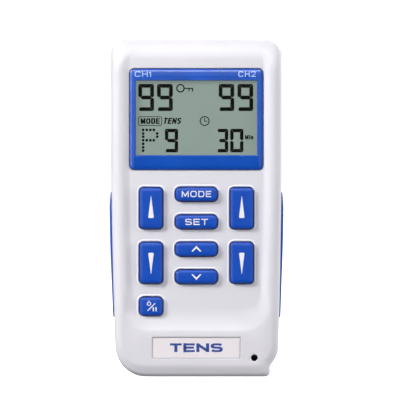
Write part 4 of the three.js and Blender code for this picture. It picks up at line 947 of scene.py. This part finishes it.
def lcd_image():
    y = LCD_SEEN_Y - 0.03
    face = lambda z: y
    ink = Build()
    for x0, x1 in ((-20.65, -15.09), (-14.0, -8.4), (7.94, 13.44), (14.62, 20.18)):
        digit(ink, "9", x0, x1, 94.57, 104.18, 1.34, y)
    for char, x0, x1 in (("9", -11.2, -6.52), ("3", 7.27, 11.31), ("0", 12.02, 16.7)):
        digit(ink, char, x0, x1, 79.88, 88.23, 1.2, y)
    ink.hoop(-5.68, 102.66, 1.3, 0.46, y)  # padlock key
    for points in ([(-4.3, 102.62), (-1.3, 102.62)], [(-2.65, 102.6), (-2.65, 101.6)],
                   [(-1.38, 102.81), (-1.38, 101.5)]):
        ink.ribbon(points, 0.38, face)
    ink.hoop(2.91, 91.01, 1.58, 0.36, y)  # clock
    ink.ribbon([(2.91, 92.1), (2.91, 90.95), (3.85, 90.95)], 0.3, face)
    columns = (-18.93, -17.65, -16.37, -15.15, -13.96)
    rows = (87.85, 86.57, 85.44, 84.16, 82.9, 81.64, 80.47)
    for z, marks in zip(rows, ("1111.", "1...1", "1...1", "1111.", "1....", "1....", "1....")):
        for x, mark in zip(columns, marks):
            if mark == "1":
                ink.flat(circle(0.5, x, z, 12), y)
    ink.ribbon(rounded(8.27, 3.12, 0.55, -16.48, 90.98, 4), 0.24, face, loop=True)  # round the mode's name
    ink.make("lcd_segments", INK, sharp=20, weld=False)
    word("lcd_mode", "MODE", (-19.8, -13.05, 90.0, 92.0), 0.54, face, INK, gap=0.24, thin=0.8)
    word("lcd_therapy", "TENS", (-11.9, -5.1, 90.0, 92.15), 0.52, face, INK, gap=0.24, slant=0.26, thin=0.85)
    word("lcd_minutes", "Min", (17.3, 20.2, 84.5, 86.05), 0.38, face, INK, gap=0.24)


# ---- keys, captions and plate


def key_cap(name, spec):
    x, z, w, h, r = spec
    at = lambda g: rounded(w - 2 * g, h - 2 * g, max(r - g, 0.15), x, z, 7)
    stem = rounded(w / 2, h / 2, 0.3, x, z, 7)
    stem_y, flange_y, flange_front_y, shoulder_y = -7.75, -9.3, -10.05, KEY_FRONT_Y + 0.08
    flange, edge = GAP + 0.7, 0.8
    loops = [lift(stem, stem_y), lift(stem, flange_y)]
    loops += steps(at, [(-flange, flange_y), (-flange, flange_front_y), (0, flange_front_y - 0.05),
                        (0, shoulder_y + edge)])
    rounding = [(edge * (1 - math.cos(a)), shoulder_y + edge * (1 - math.sin(a))) for a in ANGLES[1:]]
    crown = [(edge + g, KEY_FRONT_Y + d) for g, d in ((0.3, 0.03), (0.65, 0.005), (1, 0))]
    loops += steps(at, rounding + crown)
    Build().solid(*loops).make(name + "_cap", BLUE_KEY, name, name, sharp=50)


def key_collars():
    """A low bead round every key, in a lighter white than the case: a painted highlight where the bead
    catches the light.
    """
    gap, width, height = KEY_GAP + 0.14, 0.62, 0.13
    build = Build()
    for spec in KEYS.values():
        loops = []
        for t in np.linspace(0, 1, 7):
            proud = height * math.sin(math.pi * t * 0.85) - 0.01
            loops.append(laid(key_loop(spec, gap + width * (1 - t)), front_at, -proud))
        build.stack([*loops, laid(key_loop(spec, KEY_GAP + 0.05), front_at, 0.15)])
    build.make("key_collars", COLLAR_PAINTED_HIGHLIGHT, slot="case_white", sharp=60)


def legends():
    y, thick = LEGEND_Y, 0.07
    face = lambda z: y
    for way, z, tall in (("up", 60.4, 7.75), ("down", 40.5, -7.4)):
        foot, tip = z - tall / 2, z + tall / 2
        corner = foot + math.copysign(0.3, tall)
        wedge = [(-0.7, foot), (0.7, foot), (0.98, corner), (0.06, tip), (-0.06, tip), (-0.98, corner)]
        for channel, x in (("key_channel_1_", -SIDE_X), ("key_channel_2_", SIDE_X)):
            name = channel + way
            Build().flat([(x + u, v) for u, v in wedge], y, thick).make(name + "_legend", PRINT, body=name)
    for name, z, way in (("key_up", 45.6, 1), ("key_down", 35.6, -1)):
        h, s, w = 1.05 * way, 0.62 * way, 1.75
        chevron = [(0, z + h), (w, z - h + s * 0.35), (w - 0.42, z - h), (0, z + h - s * 1.35),
                   (0.42 - w, z - h), (-w, z - h + s * 0.35)]
        Build().flat(chevron, y, thick).make(name + "_legend", PRINT, body=name)
    glyph = Build()
    glyph.hoop(-16.83, 26.1, 0.62, 0.3, y, thick=thick)
    strokes = ((-16.83, 26.35, -16.83, 27.3, 0.3), (-17.33, 23.58, -14.63, 26.28, 0.34),
               (-15.27, 24.86, -15.27, 23.4, 0.42), (-14.31, 24.86, -14.31, 23.4, 0.42))
    for x0, z0, x1, z1, width in strokes:
        glyph.ribbon([(x0, z0), (x1, z1)], width, face, thick)
    glyph.make("key_power_legend", PRINT, body="key_power")
    style = {"gap": 0.55, "thick": thick}
    word("key_mode_legend", "MODE", (-5.2, 5.25, 63.95, 66.15), 0.35, face, PRINT, "key_mode", **style)
    word("key_set_legend", "SET", (-4.0, 4.1, 54.05, 56.25), 0.35, face, PRINT, "key_set", **style)


def captions():
    bezel_top = BEZEL_Z + BEZEL_H / 2
    low, high = SCREEN_Z + SCREEN_H / 2 + SCREEN_LIP, bezel_top - BEZEL_EDGE[-1][0]

    def face(z):
        """Depth of the bezel's upper face, less the print."""
        t = (high - z) / (high - low)
        if t > 0:
            return BEZEL_RIM_Y - (BEZEL_RIM_Y - BEZEL_TOP_Y) * t * (2 - t) - 0.03
        return float(np.interp(bezel_top - z, *zip(*BEZEL_EDGE))) - 0.03

    word("caption_1", "CH1", (-21.9, -16.1, 106.65, 108.65), 0.32, face, PALE, gap=0.5)
    word("caption_2", "CH2", (14.9, 21.1, 106.65, 108.65), 0.32, face, PALE, gap=0.5)


def plate():
    film = growing(PLATE_W, PLATE_H, 0.25, 0, PLATE_Z, corner=0)
    loops = [laid(film(g), front_at, d) for g, d in ((-0.08, 0.65), (-0.08, 0.36), (-0.16, 0.3))]
    Build().solid(*loops).make("plate_film", FILM, "name_plate", sharp=15)
    slope, foot_z = -CHIN_DROP / (RIDGE_Z - CHIN_LOW_Z), 9.0
    foot_y = float(front_at([0.0], [foot_z])[0]) + 0.27
    face = lambda z: foot_y + slope * (z - foot_z)
    word("plate_word", "TENS", (-9.4, 9.4, 8.9, 12.0), 1.1, face, FILM_INK, gap=0.55, thin=0.66)


# ---- power, sockets and screws


def cell(name, x, up):
    length, centre = 49.2, (x, CELL_Y, 15.1 if up else 12.6)
    profile = [(0.3, 0), (3.2, 0.0), (3.5, 0.15), (6.3, 0.15), (6.75, 0.35), (6.95, 0.8), (7, 1.2), (7, 47.9),
               (6.95, 48.4), (6.7, 48.9), (6.2, 49.1), (3.3, 49.1), (2.9, 49.2), (2.7, 49.4), (2.65, 50.2),
               (2.4, 50.45), (0.3, 50.5)]
    if not up:
        profile = [(r, length - h) for r, h in profile]
    Build().turned(profile, centre, "z", 48).make(name + "_can", CONTACT, name, slot="cell_sleeve")
    for part, a, b, look in (("sleeve", 0.9, 38.0, SLEEVE), ("band", 38.0, 48.3, COPPER)):
        if not up:
            a, b = length - b, length - a
        skin = [(6.9, a), (7.03, a + 0.05), (7.03, b - 0.05), (6.9, b)]
        Build().turned(skin, centre, "z", 48, cap=False).make(name + "_" + part, look, slot="cell_sleeve")


def coil(name, x, base, tip, turns=3.5):
    t = np.linspace(0, 1, 160)
    r, a = 3.8 - 1.7 * t, TAU * turns * t
    path = np.column_stack([x + r * np.cos(a), CELL_Y + r * np.sin(a), base + (tip - base) * t])
    Build().wire(path, 0.32).make(name + "_wire", SPRING, name)


def socket(name, x):
    """A square body, a round neck with a bore, and a contact ring in it."""
    body = growing(9, 9.7, 0.5, x, 0.15, 3, 0)
    loops = [(body(g), z) for g, z in ((-0.2, 106.5), (0, 106.7), (0, 117.5), (-0.2, 117.7))]
    housing = Build().solid(*(np.column_stack([p, np.full(len(p), z)]) for p, z in loops))
    neck = [(2.9, 117.6), (2.9, 119.7), (2.82, 119.85), (2.7, 119.9), (2.05, 119.9), (1.9, 119.8),
            (1.8, 119.6), (1.8, 108.0), (0.01, 108.0)]
    housing.turned(neck, (x, 0, 0), "z", 48, cap=False).make(name + "_housing", SOCKET, name)
    ring = [(1.78, 119.2), (1.78, 116.0), (1.6, 115.9), (1.6, 119.0), (1.78, 119.2)]
    Build().turned(ring, (x, 0, 0), "z", 40, cap=False).make(name + "_contact", CONTACT)


def screw(node, at, head_y, head_r, head_h, shank_r, length):
    """A pan-head screw with a cross recess and a real thread."""
    x, z = at
    root = shank_r * 0.82
    profile = [(0.01, -length), (shank_r * 0.3, -length + 0.1), (shank_r * 0.75, -length + 0.9)]
    y = -length + 1.0
    while y < -0.5:
        profile += [(root, y), (shank_r, y + 0.2), (root, y + 0.4)]
        y += 0.55
    profile += [(shank_r, -0.3), (shank_r, 0), (head_r - 0.08, 0), (head_r, 0.1), (head_r, head_h * 0.5)]
    for a in np.linspace(0.2, math.pi / 2, 6):
        profile.append((head_r * (0.55 + 0.45 * math.cos(a)), head_h * (0.5 + 0.5 * math.sin(a))))
    profile.append((0.01, head_h))
    obj = Build().turned(profile, (x, head_y, z), cap=False).make(node + "_turned", ZINC, node)
    arm, slot = head_r * 0.6, head_r * 0.15
    quarter = np.array([(arm, slot), (slot, slot), (slot, arm)])
    quarter_turns = [np.array([(c, s), (-s, c)]) for c, s in ((1, 0), (0, 1), (-1, 0), (0, -1))]
    cross = np.concatenate([quarter @ turn for turn in quarter_turns])
    bottom = np.sign(cross) * np.minimum(abs(cross), head_r * 0.28)
    cut(obj, Build().solid(lift(bottom + at, head_y + head_h * 0.3), lift(cross + at, head_y + head_h + 0.2)))


# ---- clip


def slab(loop, x0, x1, edge):
    """A solid with a (y, z) profile between two widths, its edges softened."""
    after = np.roll(loop, -1, 0)
    t = after - np.roll(loop, 1, 0)
    t /= np.linalg.norm(t, axis=1)[:, None]
    normal = np.column_stack([t[:, 1], -t[:, 0]])
    if np.sum(loop[:, 0] * after[:, 1] - after[:, 0] * loop[:, 1]) < 0:
        normal = -normal
    rows = [(loop - normal * (edge * (1 - math.sin(b))), edge * (1 - math.cos(b))) for b in ANGLES]
    return Build().solid(*(across(p, x0 + d) for p, d in rows), *(across(p, x1 - d) for p, d in rows[::-1]))


def clip_lever():
    o, i, half = LEVER_OUTER_Y, LEVER_INNER_Y, LEVER_HALF_W
    side = closed(
        (o, 115),
        (8, (o, 84)),
        (12, (o, 79), (17, 76.5)),
        (10, (15.4, 75), (16.4, 71.2)),
        (2, (15, 70.6)),
        (10, (13, 73.4), (13.2, 75.6)),
        (8, (13.6, 77.4), (16, 78.5)),
        (10, (i, 80), (i, 84)),
        (8, (i, 115)),
        (6, (i, 117), (i + 0.9, 117)),
        (6, (o, 117), (o, 115)),
    )
    arm = slab(side, -half, half, 0.3).make("clip_lever_arm", WHITE, "clip_lever", "clip_lever")
    r, clear = 3.5, 2
    corners = []
    for sx in (-1, 1):
        for sz, end_z in ((1, 117.0), (-1, 70.4)):
            cx, cz = sx * (half - r), end_z - sz * r
            round_off = arc(0, 0, r - 0.02, 0, 90, 12) * (sx, sz) + (cx, cz)
            p = [(sx * 14, end_z + sz * clear), (sx * 14, cz), *round_off, (cx, end_z + sz * clear)]
            corners.append(prism(np.array(p), 10, 24))
    cut(arm, *corners, *[groove(108.9 + 1.9 * k, o, 0.4) for k in range(4)])
    knuckles = Build()
    web = rounded(1.6, 4.2, 0.05, i - 0.4, PIVOT_Z, 2)
    for x0, x1 in ((-half, -4.6), (4.6, half)):
        ring = [(2.1, x0), (2.1, x1), (1.3, x1), (1.3, x0), (2.1, x0)]
        knuckles.turned(ring, (0, PIVOT_Y, PIVOT_Z), "x", 40, cap=False)
        knuckles.solid(across(web, x0 + 0.02), across(web, x1 - 0.02))
    knuckles.make("clip_lever_knuckles", WHITE, body="clip_lever")


def clip_bracket():
    foot = growing(25, 17, 2, 0, 106, corner=0)
    base = Build().solid(*steps(foot, [(0, 12.9), *round_edge(0.3, 14.1)]))
    obj = base.make("clip_bracket_base", WHITE, "clip_bracket")
    cut(obj, *[Build().turned([(1.3, 12), (1.3, 15)], (x, 0, z)) for x, z in CLIP_SCREWS.values()])
    ear = closed(
        (12.95, 101.5),
        (1, (13.0, 101.5)),
        (3, (PIVOT_Y, PIVOT_Z - 2.5)),
        arc(PIVOT_Y, PIVOT_Z, 2.5, -90, 90, 18),
        (3, (12.95, 110.5)),
        (2, (12.95, 101.5)),
    )
    for name, x in (("left", -12.4), ("right", 10.3)):
        part = slab(ear, x, x + 2.1, 0.2).make("clip_bracket_ear_" + name, WHITE)
        cut(part, Build().turned([(1.3, x - 1), (1.3, x + 4)], (0, PIVOT_Y, PIVOT_Z), "x"))


def clip_hardware():
    pin = [(0.01, -12.35), (0.8, -12.35), (1, -12.15), (1, 12.15), (0.8, 12.35), (0.01, 12.35)]
    rod = Build().turned(pin, (0, PIVOT_Y, PIVOT_Z), "x", cap=False)
    rod.make("clip_pin_rod", CONTACT, "clip_pin")
    turns, r, half = 4.25, 1.6, 3.6
    t = np.linspace(0, 1, 200)
    a = math.pi + TAU * turns * t
    path = np.column_stack([-half + 2 * half * t, PIVOT_Y + r * np.cos(a), PIVOT_Z + r * np.sin(a)])
    end = (half, PIVOT_Y + r * math.cos(a[-1]) + 0.2, PIVOT_Z + r * math.sin(a[-1]) - 0.3)
    leg_in = np.linspace((-half, 14.72, PIVOT_Z - 6), (-half, PIVOT_Y - r + 0.02, PIVOT_Z - 0.4), 14)
    leg_out = np.linspace(end, (half + 0.3, 18.2, PIVOT_Z - 7), 14)
    spring = Build().wire(np.concatenate([leg_in, path, leg_out]), 0.24)
    spring.make("clip_spring_wire", SPRING, "clip_spring")


# ---- assembly

front_shell()
rear_shell()
battery_door()
grip_pad("left_grip", -1)
grip_pad("right_grip", 1)
bezel()
panes()
lcd_image()
for key_name, key_spec in KEYS.items():
    key_cap(key_name, key_spec)
key_collars()
legends()
captions()
plate()
cell("battery_1", -CELL_X, True)
cell("battery_2", CELL_X, False)
coil("battery_spring_1", -CELL_X, 11.8, 14.6)
coil("battery_spring_2", CELL_X, 65.2, 62.3)
socket("output_socket_1", -SOCKET_X)
socket("output_socket_2", SOCKET_X)
for spot, at in SCREWS.items():
    screw("case_screw_" + spot, at, 9.5, head_r=2.5, head_h=1.7, shank_r=1.15, length=14.5)
for spot, at in CLIP_SCREWS.items():
    screw("clip_screw_" + spot, at, 14.4, head_r=1.9, head_h=1.2, shank_r=0.8, length=5)
clip_lever()
clip_bracket()
clip_hardware()

KEPT = {  # CAD nodes that are seen as they are, with the material of each
    "lcd_tray": WHITE, "zebra_strip": ZEBRA, "keypad_mat": SILICONE, "main_board": BOARD,
    "microcontroller": CHIP, "buzzer": CHIP, "transformer_1": TAPE, "transformer_2": TAPE,
    "capacitor_1": CAP_SLEEVE, "capacitor_2": CAP_SLEEVE, "battery_link_plate": CONTACT,
    "battery_terminal_positive": CONTACT, "battery_terminal_negative": CONTACT,
    "board_screw_left": ZINC, "board_screw_right": ZINC,
}
for node, look in KEPT.items():
    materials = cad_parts[node].data.materials
    materials.clear()
    materials.append(look)

# ---- floor, light and camera

floor_mesh = bpy.data.meshes.new("floor")
floor_mesh.from_pydata([(-60, -60, 0), (60, -60, 0), (60, 60, 0), (-60, 60, 0)], [], [(0, 1, 2, 3)])
floor = add_object("floor", floor_mesh)
pale = bpy.data.materials.new("floor_pale")
pale.use_nodes = True
feed(pale.node_tree, pale.node_tree.nodes["Principled BSDF"], {
    "Base Color": (0.9, 0.9, 0.9, 1), "Roughness": 0.9, "Emission Color": (1, 1, 1, 1),
    "Emission Strength": 0.85})
floor_mesh.materials.append(pale)
floor.visible_diffuse = floor.visible_glossy = floor.visible_transmission = False

# The studio is brighter at the sides, overhead and right below than in front, as between two soft boxes.
WORLD_FRONT, WORLD_SIDE, WORLD_TOP, WORLD_RIGHT, WORLD_FLOOR, WORLD_LEAST = 0.06, 0.68, 0.45, 0.2, 0.9, 0.02
world = bpy.data.worlds.new("studio")
bpy.context.scene.world = world
world.use_nodes = True
sky = world.node_tree
sky.nodes.clear()


def sky_math(operation, *values):
    return add_node(sky, "Math", "Value", dict(enumerate(values)), operation=operation)


direction = add_node(sky, "TexCoord", "Generated", {})
right = add_node(sky, "SeparateXYZ", "X", {"Vector": direction})
up = right.node.outputs["Z"]
bright = sky_math("MULTIPLY_ADD", sky_math("MULTIPLY", right, right), WORLD_SIDE, WORLD_FRONT)
bright = sky_math("MULTIPLY_ADD", up, WORLD_TOP, bright)
bright = sky_math("MULTIPLY_ADD", right, WORLD_RIGHT, bright)
bright = sky_math("MAXIMUM", bright, WORLD_LEAST)
down = sky_math("MINIMUM", up, 0.0)
down = sky_math("POWER", sky_math("MULTIPLY", down, down), 3.0)
bright = sky_math("MULTIPLY_ADD", down, WORLD_FLOOR, bright)
glow = add_node(sky, "Background", "Background", {"Color": (0.985, 0.985, 1.0, 1), "Strength": bright})
seen = add_node(sky, "Background", "Background", {"Color": (1, 1, 1, 1), "Strength": 1.05})
to_camera = add_node(sky, "LightPath", "Is Camera Ray", {})
both = add_node(sky, "MixShader", "Shader", {"Fac": to_camera, 1: glow, 2: seen})
sky.links.new(both, sky.nodes.new("ShaderNodeOutputWorld").inputs["Surface"])


def area_light(name, at, size, power, diffuse=True, glossy=True):
    """A soft box in metres that faces the middle of the case."""
    data = bpy.data.lights.new(name, "AREA")
    data.shape = "RECTANGLE"
    data.size, data.size_y = size
    data.energy = power
    obj = add_object(name, data)
    obj.location = at
    obj.visible_diffuse, obj.visible_glossy = diffuse, glossy
    obj.rotation_mode = "QUATERNION"
    obj.rotation_quaternion = (Vector((0, 0, 0.06)) - Vector(at)).to_track_quat("-Z", "Y")


area_light("key_light", (-1.05, -0.744, 0.8), (0.4, 0.4), 17.6)
area_light("front_fill", (-0.4, -1.7, 0.4), (1.4, 1.4), 4.9, glossy=False)
area_light("right_fill", (1.5, -0.4, 0.15), (0.7, 0.7), 10, glossy=False)
area_light("left_glow", (-0.55, -1.25, 0.1), (0.5, 1.2), 2.5, diffuse=False)
area_light("right_glow", (0.6, -1.25, 0.1), (0.5, 1.2), 2, diffuse=False)
area_light("top_glint", (0, -0.95, 0.84), (1.2, 0.3), 13, diffuse=False)
area_light("upper_glow", (0, -1.25, 0.5), (1.2, 0.5), 3, diffuse=False)
area_light("left_glint", (-1.0, -0.85, 0.1), (0.3, 1.2), 9, diffuse=False)
area_light("back_fill", (0.5, 0.9, 0.72), (0.5, 0.5), 9)

VIEW_SIDE = 147.4  # side of the square that the picture shows, at the front face
FACE_Y = -13.0
LENS, SENSOR = 300.0, 36.0
camera_data = bpy.data.cameras.new("camera")
camera_data.lens, camera_data.sensor_width = LENS, SENSOR
camera_data.clip_start, camera_data.clip_end = 0.01, 200
camera = add_object("camera", camera_data)
camera.location = (3.94 * MM, (FACE_Y - VIEW_SIDE / (SENSOR / LENS)) * MM, 60.26 * MM)
camera.rotation_euler = (math.radians(90), 0, 0)
bpy.context.scene.camera = camera
bpy.context.scene.view_settings.view_transform = "Standard"
